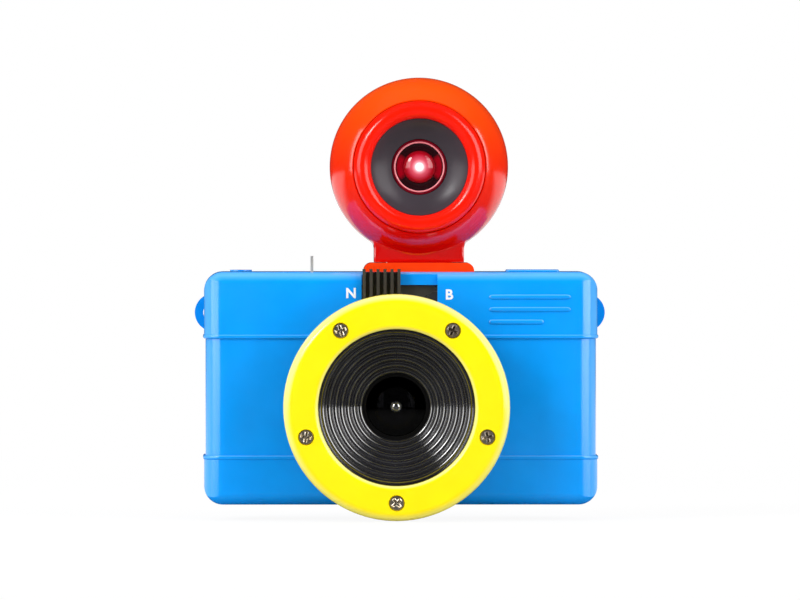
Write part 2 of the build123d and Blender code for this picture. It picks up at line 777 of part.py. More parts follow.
# The ring has a broad rounded outer edge, a small inner one and a skirt over the barrel.
with BuildPart() as lens_ring:
    with BuildSketch(along_lens(lens_x, lens_z)):
        with BuildLine():
            Polyline((ring_opening, barrel_front_y),
                     (barrel_radius + fit_gap, barrel_front_y),
                     (barrel_radius + fit_gap, barrel_front_y + ring_skirt_length),
                     (ring_radius, barrel_front_y + ring_skirt_length),
                     (ring_radius, ring_front_y + ring_bevel))
            RadiusArc((ring_radius, ring_front_y + ring_bevel),
                      (ring_radius - ring_bevel, ring_front_y), ring_bevel)
            Line((ring_radius - ring_bevel, ring_front_y), (ring_opening + ring_inner_round, ring_front_y))
            RadiusArc((ring_opening + ring_inner_round, ring_front_y),
                      (ring_opening, ring_front_y + ring_inner_round), ring_inner_round)
            Line((ring_opening, ring_front_y + ring_inner_round), (ring_opening, barrel_front_y))
        make_face()
    revolve(axis=fore_aft_axis(lens_x, lens_z))
    head_sink = screw_head_height + 0.2
    with BuildSketch(facing_front(ring_front_y + head_sink)):
        with Locations(*ring_screw_points):
            Circle(screw_head_radius + 0.15)
    extrude(amount=head_sink + 1, mode=Mode.SUBTRACT)
    with BuildSketch(facing_front(barrel_front_y)):
        with Locations(*ring_screw_points):
            Circle(screw_shank_radius + fit_gap)
    extrude(amount=ring_thickness, mode=Mode.SUBTRACT)
finish(lens_ring.part, "lens_ring")

with BuildPart() as ring_screws:
    head_seat = ring_front_y + head_sink
    with BuildSketch(facing_front(head_seat)):
        with Locations(*ring_screw_points):
            Circle(screw_head_radius)
    extrude(amount=screw_head_height)
    with BuildSketch(facing_front(head_seat)):
        with Locations(*ring_screw_points):
            Circle(screw_shank_radius)
    extrude(amount=-ring_screw_length + screw_head_height)
    with BuildSketch(facing_front(head_seat - screw_head_height + cross_recess_depth)):
        with Locations(*ring_screw_points):
            Rectangle(cross_recess_length, cross_recess_width)
            Rectangle(cross_recess_width, cross_recess_length)
    extrude(amount=cross_recess_depth, mode=Mode.SUBTRACT)
finish(ring_screws.part, "ring_screws")

# The cell is a tube with two seats: the front lens lies in one, the rear lens in the other.
front_seat_y = cell_front_y + front_lens_crown + front_lens_rim
rear_seat_y = cell_back_y - cell_step
with BuildPart() as lens_cell:
    with BuildSketch(along_lens(lens_x, lens_z)):
        with BuildLine():
            Polyline((front_lens_radius + press_gap, cell_front_y),
                     (cell_wall_radius, cell_front_y),
                     (cell_wall_radius, cell_back_y),
                     (rear_lens_radius + press_gap, cell_back_y),
                     (rear_lens_radius + press_gap, rear_seat_y),
                     (pupil_lens_radius + 0.1, rear_seat_y),
                     (pupil_lens_radius + 0.1, rear_seat_y - 0.8),
                     (front_lens_radius - 1.4, rear_seat_y - 0.8),
                     (front_lens_radius - 1.4, front_seat_y),
                     (front_lens_radius + press_gap, front_seat_y),
                     close=True)
        make_face()
    revolve(axis=fore_aft_axis(lens_x, lens_z))
finish(lens_cell.part, "lens_cell")

# A weak meniscus: crowned in front, hollow behind.
with BuildPart() as front_lens:
    with BuildSketch(along_lens(lens_x, lens_z)):
        with BuildLine():
            rim_y = front_seat_y - front_lens_rim
            hollow_radius = front_lens_radius - 1.4
            top_y = rim_y - front_lens_crown
            crown_fall = fall_at_half(front_lens_radius, front_lens_crown)
            hollow_y = front_seat_y - front_lens_hollow
            hollow_fall = fall_at_half(hollow_radius, front_lens_hollow)
            ThreePointArc((0, top_y), (front_lens_radius / 2, top_y + crown_fall), (front_lens_radius, rim_y))
            Line((front_lens_radius, rim_y), (front_lens_radius, front_seat_y))
            Line((front_lens_radius, front_seat_y), (hollow_radius, front_seat_y))
            ThreePointArc((hollow_radius, front_seat_y), (hollow_radius / 2, hollow_y + hollow_fall),
                          (0, hollow_y))
            Line((0, hollow_y), (0, top_y))
        make_face()
    revolve(axis=fore_aft_axis(lens_x, lens_z))
finish(front_lens.part, "front_lens")

# The small inner lens shows as a bead in the middle of the dark cell.
with BuildPart() as pupil_lens:
    with BuildSketch(along_lens(lens_x, lens_z)):
        with BuildLine():
            bead_y = rear_seat_y - 0.8
            bead_fall = fall_at_half(pupil_lens_radius, pupil_lens_rise)
            ThreePointArc((0, bead_y - pupil_lens_rise),
                          (pupil_lens_radius / 2, bead_y - pupil_lens_rise + bead_fall),
                          (pupil_lens_radius, bead_y))
            Polyline((pupil_lens_radius, bead_y), (pupil_lens_radius, rear_seat_y), (0, rear_seat_y),
                     (0, bead_y - pupil_lens_rise))
        make_face()
    revolve(axis=fore_aft_axis(lens_x, lens_z))
finish(pupil_lens.part, "pupil_lens")

with BuildPart() as aperture_plate:
    with BuildSketch(facing_front(rear_seat_y + aperture_thickness)):
        with Locations((lens_x, lens_z)):
            Circle(rear_lens_radius)
            Circle(aperture_radius, mode=Mode.SUBTRACT)
    extrude(amount=aperture_thickness)
finish(aperture_plate.part, "aperture_plate")

with BuildPart() as rear_lens:
    with BuildSketch(along_lens(lens_x, lens_z)):
        with BuildLine():
            flat_y = rear_seat_y + aperture_thickness
            edge_y = flat_y + rear_lens_rim
            Polyline((0, edge_y + rear_lens_crown), (0, flat_y), (rear_lens_radius, flat_y),
                     (rear_lens_radius, edge_y))
            back_fall = fall_at_half(rear_lens_radius, rear_lens_crown)
            ThreePointArc((rear_lens_radius, edge_y),
                          (rear_lens_radius / 2, edge_y + rear_lens_crown - back_fall),
                          (0, edge_y + rear_lens_crown))
        make_face()
    revolve(axis=fore_aft_axis(lens_x, lens_z))
finish(rear_lens.part, "rear_lens")

# ================================================================ shutter
plate_low = min(z for x, z in plate_bosses_at) - small_boss_radius
plate_high = max(z for x, z in plate_bosses_at) + small_boss_radius
plate_left = min(x for x, z in plate_bosses_at) - small_boss_radius
plate_right = max(x for x, z in plate_bosses_at) + small_boss_radius
with BuildPart() as shutter_plate:
    with BuildSketch(facing_front(plate_back_y)):
        with Locations(((plate_left + plate_right) / 2, (plate_low + plate_high) / 2)):
            RectangleRounded(plate_right - plate_left, plate_high - plate_low, small_boss_radius)
        with Locations((lens_x, lens_z)):
            Circle(light_hole_radius, mode=Mode.SUBTRACT)
        with Locations(*plate_bosses_at):
            Circle(screw_shank_radius + fit_gap, mode=Mode.SUBTRACT)
        with Locations(blade_pivot, striker_pivot):
            Circle(post_radius, mode=Mode.SUBTRACT)
    extrude(amount=plate_thickness)
    with BuildSketch(facing_front(plate_back_y)):
        with Locations(*plate_bosses_at):
            Circle(screw_head_radius + 0.1)
    extrude(amount=plate_screw_sink, mode=Mode.SUBTRACT)
finish(shutter_plate.part, "shutter_plate")

with BuildPart() as plate_screws:
    add(screws_from_rear(plate_bosses_at, plate_back_y - plate_screw_sink, plate_screw_length))
finish(plate_screws.part, "plate_screws")

blade_front_y = blade_back_y - blade_thickness


def bar(points, radii):
    """A flat outline: a round pad at each point, joined to the next by a straight bar."""
    with BuildSketch(Plane.XY) as outline:
        for (x, z), radius in zip(points, radii):
            with Locations((x, z)):
                Circle(radius)
        for (x0, z0), (x1, z1), r0, r1 in zip(points, points[1:], radii, radii[1:]):
            length = sqrt((x1 - x0) ** 2 + (z1 - z0) ** 2)
            ux, uz = (x1 - x0) / length, (z1 - z0) / length
            width = 0.9 * min(r0, r1)
            with BuildLine():
                Polyline((x0 - uz * width, z0 + ux * width), (x1 - uz * width, z1 + ux * width),
                         (x1 + uz * width, z1 - ux * width), (x0 + uz * width, z0 - ux * width), close=True)
            make_face()
    return outline.sketch


with BuildPart() as shutter_blade:
    with BuildSketch(facing_front(blade_back_y)):
        add(bar([(lens_x, lens_z), blade_pivot, blade_tail],
                [blade_cover_radius, blade_hub_radius, blade_tail_radius]))
        with Locations(blade_pivot):
            Circle(post_radius + fit_gap, mode=Mode.SUBTRACT)
    extrude(amount=blade_thickness)
finish(shutter_blade.part, "shutter_blade")

with BuildPart() as blade_post:
    with BuildSketch(facing_front(plate_back_y)):
        with Locations(blade_pivot):
            Circle(post_radius)
    extrude(amount=plate_back_y - blade_front_y + seat_gap)
    with BuildSketch(facing_front(blade_front_y - seat_gap / 2)):
        with Locations(blade_pivot):
            Circle(post_head_radius)
    extrude(amount=post_head_height)
finish(blade_post.part, "blade_post")

with BuildPart() as blade_spring:
    with BuildSketch(facing_front(plate_front_y)):
        with Locations(blade_pivot):
            Circle(post_radius + spring_wire + fit_gap)
            Circle(post_radius + fit_gap, mode=Mode.SUBTRACT)
    extrude(amount=plate_front_y - blade_back_y - seat_gap)
finish(blade_spring.part, "blade_spring")

# The striker is cocked by its pin, which stands out of the top, and kicks the blade when let go.
striker_back_y = cocking_y + striker_thickness / 2
striker_front_y = cocking_y - striker_thickness / 2
with BuildPart() as striker_lever:
    with BuildSketch(facing_front(striker_back_y)):
        with Locations(striker_pivot):
            Circle(striker_hub_radius)
        with Locations((striker_pivot[0], (striker_pivot[1] + ceiling - cocking_pin_step) / 2)):
            Rectangle(striker_arm_width, ceiling - cocking_pin_step - striker_pivot[1])
        with Locations((striker_pivot[0], (striker_pivot[1] + cocking_pin_top) / 2)):
            Rectangle(cocking_pin_width, cocking_pin_top - striker_pivot[1])
        add(bar([striker_pivot, striker_kick], [striker_hub_radius * 0.7, striker_kick_radius]))
        with Locations(striker_pivot):
            Circle(post_radius + fit_gap, mode=Mode.SUBTRACT)
    extrude(amount=striker_thickness)
finish(striker_lever.part, "striker_lever")

with BuildPart() as striker_post:
    with BuildSketch(facing_front(plate_back_y)):
        with Locations(striker_pivot):
            Circle(post_radius)
    extrude(amount=plate_back_y - striker_front_y + seat_gap / 2)
    with BuildSketch(facing_front(plate_front_y)):
        with Locations(striker_pivot):
            Circle(post_head_radius)
    extrude(amount=post_head_height)
finish(striker_post.part, "striker_post")

with BuildPart() as striker_spring:
    with BuildSketch(facing_front(plate_front_y - post_head_height)):
        with Locations(striker_pivot):
            Circle(post_radius + 2 * spring_wire + fit_gap)
            Circle(post_radius + fit_gap, mode=Mode.SUBTRACT)
    extrude(amount=plate_front_y - post_head_height - striker_back_y - seat_gap)
finish(striker_spring.part, "striker_spring")

# ================================================================ release
button_middle = button_left + button_width / 2
flange_top = ceiling - seat_gap / 4
flange_low = flange_top - button_flange
stem_bottom = flange_low - stem_reach
stem_x = button_left + stem_inset + stem_width / 2
with BuildPart() as release_button:
    with BuildSketch(Plane.XY.offset(flange_low)):
        with Locations((button_middle, button_middle_y)):
            RectangleRounded(button_width, button_depth, 0.6)
    extrude(amount=body_height + button_proud - flange_low)
    chamfer(release_button.faces().sort_by(Axis.Z)[-1].edges(), 0.2)
    with BuildSketch(Plane.XY.offset(flange_low)):
        with Locations((button_middle, button_middle_y)):
            Rectangle(button_width + 2 * button_flange, button_depth + 2 * button_flange)
    extrude(amount=button_flange)
    with BuildSketch(Plane.XY.offset(flange_low)):
        with Locations((stem_x, button_middle_y)):
            Rectangle(stem_width, stem_width)
    extrude(amount=-stem_reach)
finish(release_button.part, "release_button")

button_spring_x = button_middle + button_spring_offset
with BuildPart() as button_spring:
    with BuildSketch(Plane.XY.offset(chamber_high + chamber_wall)):
        with Locations((button_spring_x, button_middle_y)):
            Circle(button_spring_radius)
            Circle(button_spring_radius - spring_wire, mode=Mode.SUBTRACT)
    extrude(amount=flange_low - chamber_high - chamber_wall)
finish(button_spring.part, "button_spring")

# The release lever rocks on its post: the stem presses one end, the other lets the striker go.
lever_front_y = button_middle_y - release_thickness / 2
lever_back_y = button_middle_y + release_thickness / 2
lever_right = stem_x + stem_width / 2
catch_front_y = striker_back_y + seat_gap
with BuildPart() as release_lever:
    with BuildSketch(facing_front(lever_back_y)):
        with Locations(release_pivot):
            Circle(release_hub_radius)
        with Locations(((release_pivot[0] + lever_right) / 2, stem_bottom - (seat_gap + release_bar_height) / 2)):
            Rectangle(lever_right - release_pivot[0], release_bar_height)
        with Locations(((release_tip + release_pivot[0]) / 2, release_pivot[1])):
            Rectangle(release_pivot[0] - release_tip, release_bar_height)
        with Locations(release_pivot):
            Circle(lever_post_radius + fit_gap, mode=Mode.SUBTRACT)
    extrude(amount=release_thickness)
    with BuildSketch(facing_front(lever_back_y)):
        with Locations((release_tip + release_catch_width / 2, release_pivot[1])):
            Rectangle(release_catch_width, release_bar_height)
    extrude(amount=lever_back_y - catch_front_y)
finish(release_lever.part, "release_lever")

with BuildPart() as lever_post:
    with BuildSketch(facing_front(chamber_plate_y)):
        with Locations(release_pivot):
            Circle(lever_post_radius)
    extrude(amount=chamber_plate_y - lever_front_y + seat_gap)
    for seat_y in (lever_back_y + seat_gap / 2 + post_head_height, lever_front_y - seat_gap / 2):
        with BuildSketch(facing_front(seat_y)):
            with Locations(release_pivot):
                Circle(lever_post_radius + lever_post_step)
        extrude(amount=post_head_height)
finish(lever_post.part, "lever_post")

# ================================================================ exposure slider
slider_middle = slider_left + slider_width / 2
recess_y = front_y + slot_recess
slider_back_y = recess_y - seat_gap / 2
slider_face_y = slider_back_y - slider_base_thickness
carrier_front_y = front_inside + seat_gap / 2
carrier_back_y = carrier_front_y + carrier_thickness
rib_pitch = (slider_width - slider_rib_width) / (slider_rib_count - 1)
with BuildPart() as mode_slider:
    with BuildSketch(facing_front(slider_back_y)):
        with Locations((slider_middle, (slider_base_low + body_height) / 2)):
            Rectangle(slider_width, body_height - slider_base_low)
    extrude(amount=slider_base_thickness)
    for i in range(slider_rib_count):
        rib_x = slider_left + slider_rib_width / 2 + i * rib_pitch
        with BuildSketch(facing_front(slider_back_y)):
            with Locations((rib_x, (slider_base_low + slider_rib_top) / 2)):
                Rectangle(slider_rib_width, slider_rib_top - slider_base_low)
        extrude(amount=slider_base_thickness + slider_rib_depth)
    with BuildSketch(facing_front(carrier_front_y)):
        with Locations((slider_middle, (slot_window_low + slot_window_high) / 2)):
            Rectangle(slider_width - 2 * slide_gap,
                      slot_window_high - slot_window_low - 2 * seat_gap - 2 * slide_gap)
    extrude(amount=carrier_front_y - slider_back_y)
    carrier_left = slot_left - slider_travel - carrier_overlap
    carrier_right = slot_right + carrier_overlap
    with BuildSketch(facing_front(carrier_back_y)):
        with Locations(((carrier_left + carrier_right) / 2, (slot_window_low + slot_window_high) / 2)):
            Rectangle(carrier_right - carrier_left, slot_window_high - slot_window_low + 2 * carrier_overlap)
    extrude(amount=carrier_thickness)
finish(mode_slider.part, "mode_slider")

# A strip behind the carrier keeps it against the front wall.
guide_front_y = carrier_back_y + seat_gap / 2
guide_left = carrier_left + guide_inset
guide_right = carrier_right + slider_travel
with BuildPart() as slider_guide:
    with BuildSketch(facing_front(guide_front_y + guide_thickness)):
        with Locations(((guide_left + guide_right) / 2, ceiling - guide_height / 2)):
            Rectangle(guide_right - guide_left, guide_height)
    extrude(amount=guide_thickness)
finish(slider_guide.part, "slider_guide")

# ================================================================ film advance
with BuildPart() as advance_wheel:
    with BuildSketch(Plane.XY.offset(wheel_low)):
        with Locations((wheel_x, wheel_y)):
            Circle(wheel_radius)
            Circle(axle_radius + press_gap, mode=Mode.SUBTRACT)
        with Locations((wheel_x, wheel_y)):
            with PolarLocations(wheel_radius - wheel_grip_radius / 2, wheel_grips):
                Circle(wheel_grip_radius * 1.6)
    extrude(amount=wheel_thickness)
finish(advance_wheel.part, "advance_wheel")

with BuildPart() as wheel_axle:
    with BuildSketch(Plane.XY.offset(axle_bottom)):
        with Locations((wheel_x, wheel_y)):
            Circle(axle_radius)
    extrude(amount=rear_top - axle_bottom)
    with BuildSketch(Plane.XY.offset(rear_top + fit_gap)):
        with Locations((wheel_x, wheel_y)):
            Circle(cap_radius)
    extrude(amount=cap_height)
    with BuildSketch(Plane.XY.offset(rear_top)):
        with Locations((wheel_x, wheel_y)):
            Circle(axle_radius)
    extrude(amount=2 * fit_gap)
finish(wheel_axle.part, "wheel_axle")

with BuildPart() as drive_pinion:
    with BuildSketch(Plane.XY.offset(pinion_bottom)):
        with Locations((wheel_x, wheel_y)):
            Circle(pinion_root_radius)
            with PolarLocations((pinion_root_radius + pinion_tip_radius) / 2 - 0.15, pinion_teeth):
                Trapezoid(pinion_tip_radius - pinion_root_radius + 0.3, 0.6, 80, rotation=-90)
        with Locations((wheel_x, wheel_y)):
            Circle(axle_radius + press_gap, mode=Mode.SUBTRACT)
    extrude(amount=pinion_length)
finish(drive_pinion.part, "drive_pinion")

contact_radius = wheel_radius + wheel_grip_radius * 1.1 + pawl_tip_gap + pawl_width / 2
pawl_tip = (wheel_x + contact_radius * cos(radians(pawl_contact_deg)),
            wheel_y + contact_radius * sin(radians(pawl_contact_deg)))
pawl_low = wheel_low + (wheel_thickness - pawl_thickness) / 2
with BuildPart() as ratchet_pawl:
    with BuildSketch(Plane.XY.offset(pawl_low)):
        add(bar([pawl_pivot, pawl_tip], [pawl_hub_radius, pawl_width / 2]))
        with Locations(pawl_pivot):
            Circle(post_radius + fit_gap, mode=Mode.SUBTRACT)
    extrude(amount=pawl_thickness)
finish(ratchet_pawl.part, "ratchet_pawl")

with BuildPart() as pawl_post:
    with BuildSketch(Plane.XY.offset(ceiling)):
        with Locations(pawl_pivot):
            Circle(post_radius)
    extrude(amount=-(ceiling - pawl_low + 2 * post_head_height))
    with BuildSketch(Plane.XY.offset(pawl_low - seat_gap / 2)):
        with Locations(pawl_pivot):
            Circle(post_head_radius)
    extrude(amount=-post_head_height - seat_gap)
finish(pawl_post.part, "pawl_post")

# ================================================================ film chamber
# A black moulding holds the cartridge: two deep pockets, the gate between them and a deck on top.
with BuildPart() as film_chamber:
    plate_middle = (rear_wall + seat_gap + deck_high) / 2
    with BuildSketch(facing_front(chamber_back_y)):
        with Locations((0, plate_middle)):
            RectangleRounded(2 * (rear_inner_half - seat_gap), deck_high - rear_wall - seat_gap,
                             rear_corner_radius - rear_wall - seat_gap)
        for x, z in body_screws_at[2:] + [release_pivot]:
            with Locations((x, (z + tab_rise + deck_low) / 2)):
                Rectangle(tab_width, z + tab_rise - deck_low)
    extrude(amount=chamber_plate_thickness)
    with BuildSketch(Plane.XY.offset(deck_low)):
        with Locations((0, (chamber_plate_y + rear_depth - seat_gap / 2) / 2)):
            Rectangle(2 * (rear_inner_half - seat_gap), rear_depth - seat_gap / 2 - chamber_plate_y)
    extrude(amount=deck_thickness)
    for left, right in ((take_up_left, take_up_right), (supply_left, supply_right)):
        with BuildSketch(facing_front(chamber_back_y)):
            with Locations(((left + right) / 2, (chamber_low + chamber_high) / 2)):
                Rectangle(right - left + 2 * chamber_wall, chamber_high - chamber_low + 2 * chamber_wall)
        extrude(amount=chamber_back_y - chamber_floor_y + chamber_wall)
    # the light tunnel from the shutter plate to the gate
    with BuildSketch(facing_front(chamber_back_y)):
        with Locations((lens_x, lens_z)):
            Circle(tunnel_radius)
    extrude(amount=chamber_back_y - plate_back_y - seat_gap)
    for left, right in ((take_up_left, take_up_right), (supply_left, supply_right)):
        with BuildSketch(facing_front(chamber_back_y)):
            with Locations(((left + right) / 2, (chamber_low + chamber_high) / 2)):
                Rectangle(right - left, chamber_high - chamber_low)
        extrude(amount=chamber_back_y - chamber_floor_y, mode=Mode.SUBTRACT)
    with BuildSketch(facing_front(chamber_back_y)):
        with Locations((lens_x, lens_z)):
            Circle(gate_radius)
    extrude(amount=chamber_plate_thickness, mode=Mode.SUBTRACT)
    with BuildSketch(facing_front(chamber_plate_y)):
        with Locations((lens_x, lens_z)):
            Circle(tunnel_radius - tunnel_wall)
    extrude(amount=chamber_plate_y - plate_back_y, mode=Mode.SUBTRACT)
    with BuildSketch(facing_front(chamber_back_y)):
        with Locations(*body_screws_at):
            Circle(screw_shank_radius + fit_gap)
        with Locations((feeler_x, feeler_z + feeler_thickness / 2)):
            Rectangle(feeler_width + 4 * slide_gap, feeler_thickness + 8 * slide_gap)
    extrude(amount=chamber_plate_thickness, mode=Mode.SUBTRACT)
    # two ears that hold the film feeler's pin
    for side in (-1, 1):
        ear_x = feeler_x + side * feeler_ear_x - feeler_ear_thickness / 2
        with BuildSketch(Plane(origin=(ear_x, 0, 0), x_dir=(0, 1, 0), z_dir=(1, 0, 0))):
            with Locations(((chamber_plate_y + feeler_pivot[0] - feeler_eye_radius) / 2, feeler_pivot[1])):
                Rectangle(chamber_plate_y - feeler_pivot[0] + feeler_eye_radius, 2 * feeler_eye_radius)
            with Locations(feeler_pivot):
                Circle(feeler_pin_radius, mode=Mode.SUBTRACT)
        extrude(amount=feeler_ear_thickness)
    # room for the axle and the pinion, which reaches the cartridge through the pocket's side
    with BuildSketch(Plane.XY.offset(axle_bottom - 1)):
        with Locations((wheel_x, wheel_y)):
            Circle(pinion_tip_radius + pinion_room)
        with Locations((wheel_x - pinion_tip_radius, wheel_y)):
            Rectangle(2 * pinion_tip_radius, 2 * (pinion_tip_radius + pinion_room))
    extrude(amount=pinion_bottom + pinion_length - axle_bottom + 1 + pinion_end_room, mode=Mode.SUBTRACT)
    with BuildSketch(Plane.XY.offset(pinion_bottom + pinion_length)):
        with Locations((wheel_x, wheel_y)):
            Circle(axle_radius + fit_gap)
    extrude(amount=deck_high - pinion_bottom - pinion_length + 1, mode=Mode.SUBTRACT)
finish(film_chamber.part, "film_chamber")

with BuildPart() as body_screws:
    add(screws_from_rear(body_screws_at, chamber_back_y, body_screw_length, screw_head_radius + 0.3))
finish(body_screws.part, "body_screws")

# The feeler's finger reaches through the gate plate to the film's perforation.
leaf_front_y = feeler_pivot[0] - feeler_thickness / 2
finger_end_y = chamber_back_y + feeler_tip_reach
with BuildPart() as film_feeler:
    with BuildSketch(Plane(origin=(feeler_x - feeler_width / 2, 0, 0), x_dir=(0, 1, 0), z_dir=(1, 0, 0))):
        with Locations(feeler_pivot):
            Circle(feeler_eye_radius)
        with Locations((feeler_pivot[0], feeler_z + feeler_length / 2)):
            Rectangle(feeler_thickness, feeler_length)
        with Locations(((leaf_front_y + finger_end_y) / 2, feeler_z + feeler_thickness / 2)):
            Rectangle(finger_end_y - leaf_front_y, feeler_thickness)
        with Locations(feeler_pivot):
            Circle(feeler_pin_radius + fit_gap, mode=Mode.SUBTRACT)
    extrude(amount=feeler_width)
finish(film_feeler.part, "film_feeler")

with BuildPart() as feeler_pin:
    pin_half = feeler_ear_x + feeler_ear_thickness / 2
    with BuildSketch(Plane(origin=(feeler_x - pin_half, 0, 0), x_dir=(0, 1, 0), z_dir=(1, 0, 0))):
        with Locations(feeler_pivot):
            Circle(feeler_pin_radius)
    extrude(amount=2 * pin_half)
finish(feeler_pin.part, "feeler_pin")

# ================================================================ accessory shoe
with BuildPart() as accessory_shoe:
    with BuildSketch(Plane(origin=(shoe_middle, shoe_rear_y, body_height), x_dir=(1, 0, 0),
                           z_dir=(0, -1, 0))):
        with Locations((0, shoe_height / 2)):
            Rectangle(shoe_width, shoe_height)
    extrude(amount=shoe_length)
    fillet(accessory_shoe.edges().filter_by(Axis.Y).group_by(Axis.Z)[-1], shoe_corner_radius)
    channel_length = shoe_length - shoe_front_wall
    with BuildSketch(Plane(origin=(shoe_middle, shoe_rear_y, body_height), x_dir=(1, 0, 0),
                           z_dir=(0, -1, 0))):
        with Locations((0, (shoe_base + shoe_height - shoe_lip) / 2)):
            Rectangle(foot_width + 2 * slide_gap, shoe_height - shoe_lip - shoe_base)
        with Locations((0, shoe_height)):
            Rectangle(foot_neck_width + 2 * slide_gap, 2 * (shoe_height - shoe_base))
    extrude(amount=channel_length, mode=Mode.SUBTRACT)
finish(accessory_shoe.part, "accessory_shoe")

# ================================================================ finder
# The foot slides into the shoe from the rear and carries the round finder above it.
spigot_width = neck_width - 2 * neck_wall - 2 * fit_gap
spigot_depth = neck_depth - 2 * neck_wall - 2 * fit_gap
foot_length = shoe_length - shoe_front_wall - foot_gap
foot_middle_y = shoe_rear_y - foot_length / 2
neck_middle_y = finder_split_y
with BuildPart() as finder_foot:
    with BuildSketch(Plane.XY.offset(foot_bottom)):
        with Locations((shoe_middle, foot_middle_y)):
            Rectangle(foot_width, foot_length)
    extrude(amount=foot_thickness)
    with BuildSketch(Plane.XY.offset(foot_bottom)):
        with Locations((shoe_middle, foot_middle_y)):
            Rectangle(foot_neck_width, foot_length)
    extrude(amount=neck_bottom - foot_bottom)
    with BuildSketch(Plane.XY.offset(neck_bottom)):
        with Locations((finder_x, neck_middle_y)):
            RectangleRounded(spigot_width, spigot_depth, 1.0)
    extrude(amount=spigot_rise)
finish(finder_foot.part, "finder_foot")

fillet_x = neck_width / 2 + neck_fillet
fillet_z = -sqrt((finder_radius + neck_fillet) ** 2 - fillet_x ** 2)
touch = finder_radius / (finder_radius + neck_fillet)
touch_x, touch_z = fillet_x * touch, fillet_z * touch
bisect = (touch_x - fillet_x - neck_fillet, touch_z - fillet_z)
bisect_length = sqrt(bisect[0] ** 2 + bisect[1] ** 2)
flare_x = fillet_x + neck_fillet * bisect[0] / bisect_length
flare_z = fillet_z + neck_fillet * bisect[1] / bisect_length
neck_low = neck_bottom + fit_gap - finder_z
side_y = finder_split_y


def bulb_profile(mouth_radius, mouth_y, inset):
    """Half of the finder's outline, from its widest circle to its mouth; inset gives the inner one."""
    widest = finder_radius - inset
    mouth = mouth_radius
    bulge = 0.62
    mid_radius = mouth + (widest - mouth) * sqrt(1 - bulge ** 2) * 1.02
    mid_y = side_y + (mouth_y - side_y) * bulge
    with BuildLine() as outline:
        ThreePointArc((widest, side_y), (mid_radius, mid_y), (mouth, mouth_y))
        Polyline((mouth, mouth_y), (0, mouth_y), (0, side_y), (widest, side_y))
    return outline.line


def finder_half(mouth_radius, mouth_y, outer_mouth_cut, forward):
    """One half of the finder's hollow body with its half of the neck."""
    sign = 1 if forward else -1
    with BuildPart() as half:
        with BuildSketch(along_lens(finder_x, finder_z)):
            add(bulb_profile(mouth_radius, mouth_y, 0))
            make_face()
        revolve(axis=fore_aft_axis(finder_x, finder_z))
        with BuildSketch(Plane(origin=(finder_x, side_y, finder_z), x_dir=(1, 0, 0), z_dir=(0, -1, 0))):
            with BuildLine():
                Polyline((-touch_x, touch_z), (-touch_x * 0.5, touch_z * 0.5), (touch_x * 0.5, touch_z * 0.5),
                         (touch_x, touch_z))
                ThreePointArc((touch_x, touch_z), (flare_x, flare_z), (neck_width / 2, fillet_z))
                Polyline((neck_width / 2, fillet_z), (neck_width / 2, neck_low), (-neck_width / 2, neck_low),
                         (-neck_width / 2, fillet_z))
                ThreePointArc((-neck_width / 2, fillet_z), (-flare_x, flare_z), (-touch_x, touch_z))
            make_face()
        extrude(amount=sign * neck_depth / 2)
        with BuildSketch(along_lens(finder_x, finder_z)):
            add(bulb_profile(mouth_radius - finder_wall, mouth_y + sign * finder_wall, finder_wall))
            make_face()
        revolve(axis=fore_aft_axis(finder_x, finder_z), mode=Mode.SUBTRACT)
        with BuildSketch(facing_front(side_y)):
            with Locations((finder_x, finder_z + neck_low + spigot_rise / 2)):
                Rectangle(neck_width - 2 * neck_wall, spigot_rise + 1)
        extrude(amount=sign * (neck_depth / 2 - neck_wall), mode=Mode.SUBTRACT)
        with BuildSketch(facing_front(mouth_y + sign * (finder_wall + 1))):
            with Locations((finder_x, finder_z)):
                Circle(outer_mouth_cut)
        extrude(amount=sign * (finder_wall + 3), both=True, mode=Mode.SUBTRACT)
    return half.part


def finder_bosses(half_part, sign, hole_radius, sink_from):
    """Add the three screw bosses inside one half, and the holes for the screws."""
    with BuildPart() as bossed:
        add(half_part)
        with BuildSketch(facing_front(side_y)):
            with Locations(*finder_screw_points):
                Circle(finder_boss_radius)
                Circle(hole_radius, mode=Mode.SUBTRACT)
        extrude(amount=sign * finder_boss_length)
        if sink_from is not None:
            with BuildSketch(facing_front(sink_from)):
                with Locations(*finder_screw_points):
                    Circle(screw_head_radius + 0.2)
            extrude(amount=-finder_back, mode=Mode.SUBTRACT)
            with BuildSketch(facing_front(sink_from)):
                with Locations(*finder_screw_points):
                    Circle(finder_boss_radius)
                    Circle(hole_radius, mode=Mode.SUBTRACT)
            extrude(amount=0.6)
    return bossed.part


finder_screw_points = ring_points(finder_screw_circle, finder_screw_count, 90, finder_x, finder_z)
front_half = finder_half(finder_mouth_radius, finder_front_y, bezel_outer_radius - bezel_seat, True)
rear_half_shell = finder_half(finder_tail_radius, finder_back_y, eyepiece_hole_radius, False)
finish(finder_bosses(front_half, 1, pilot_radius, None), "finder_front_shell")
finish(finder_bosses(rear_half_shell, -1, screw_shank_radius + fit_gap, side_y + finder_boss_length),
       "finder_rear_shell")

with BuildPart() as finder_screws:
    add(screws_from_rear(finder_screw_points, side_y + finder_boss_length, finder_screw_length))
finish(finder_screws.part, "finder_screws")

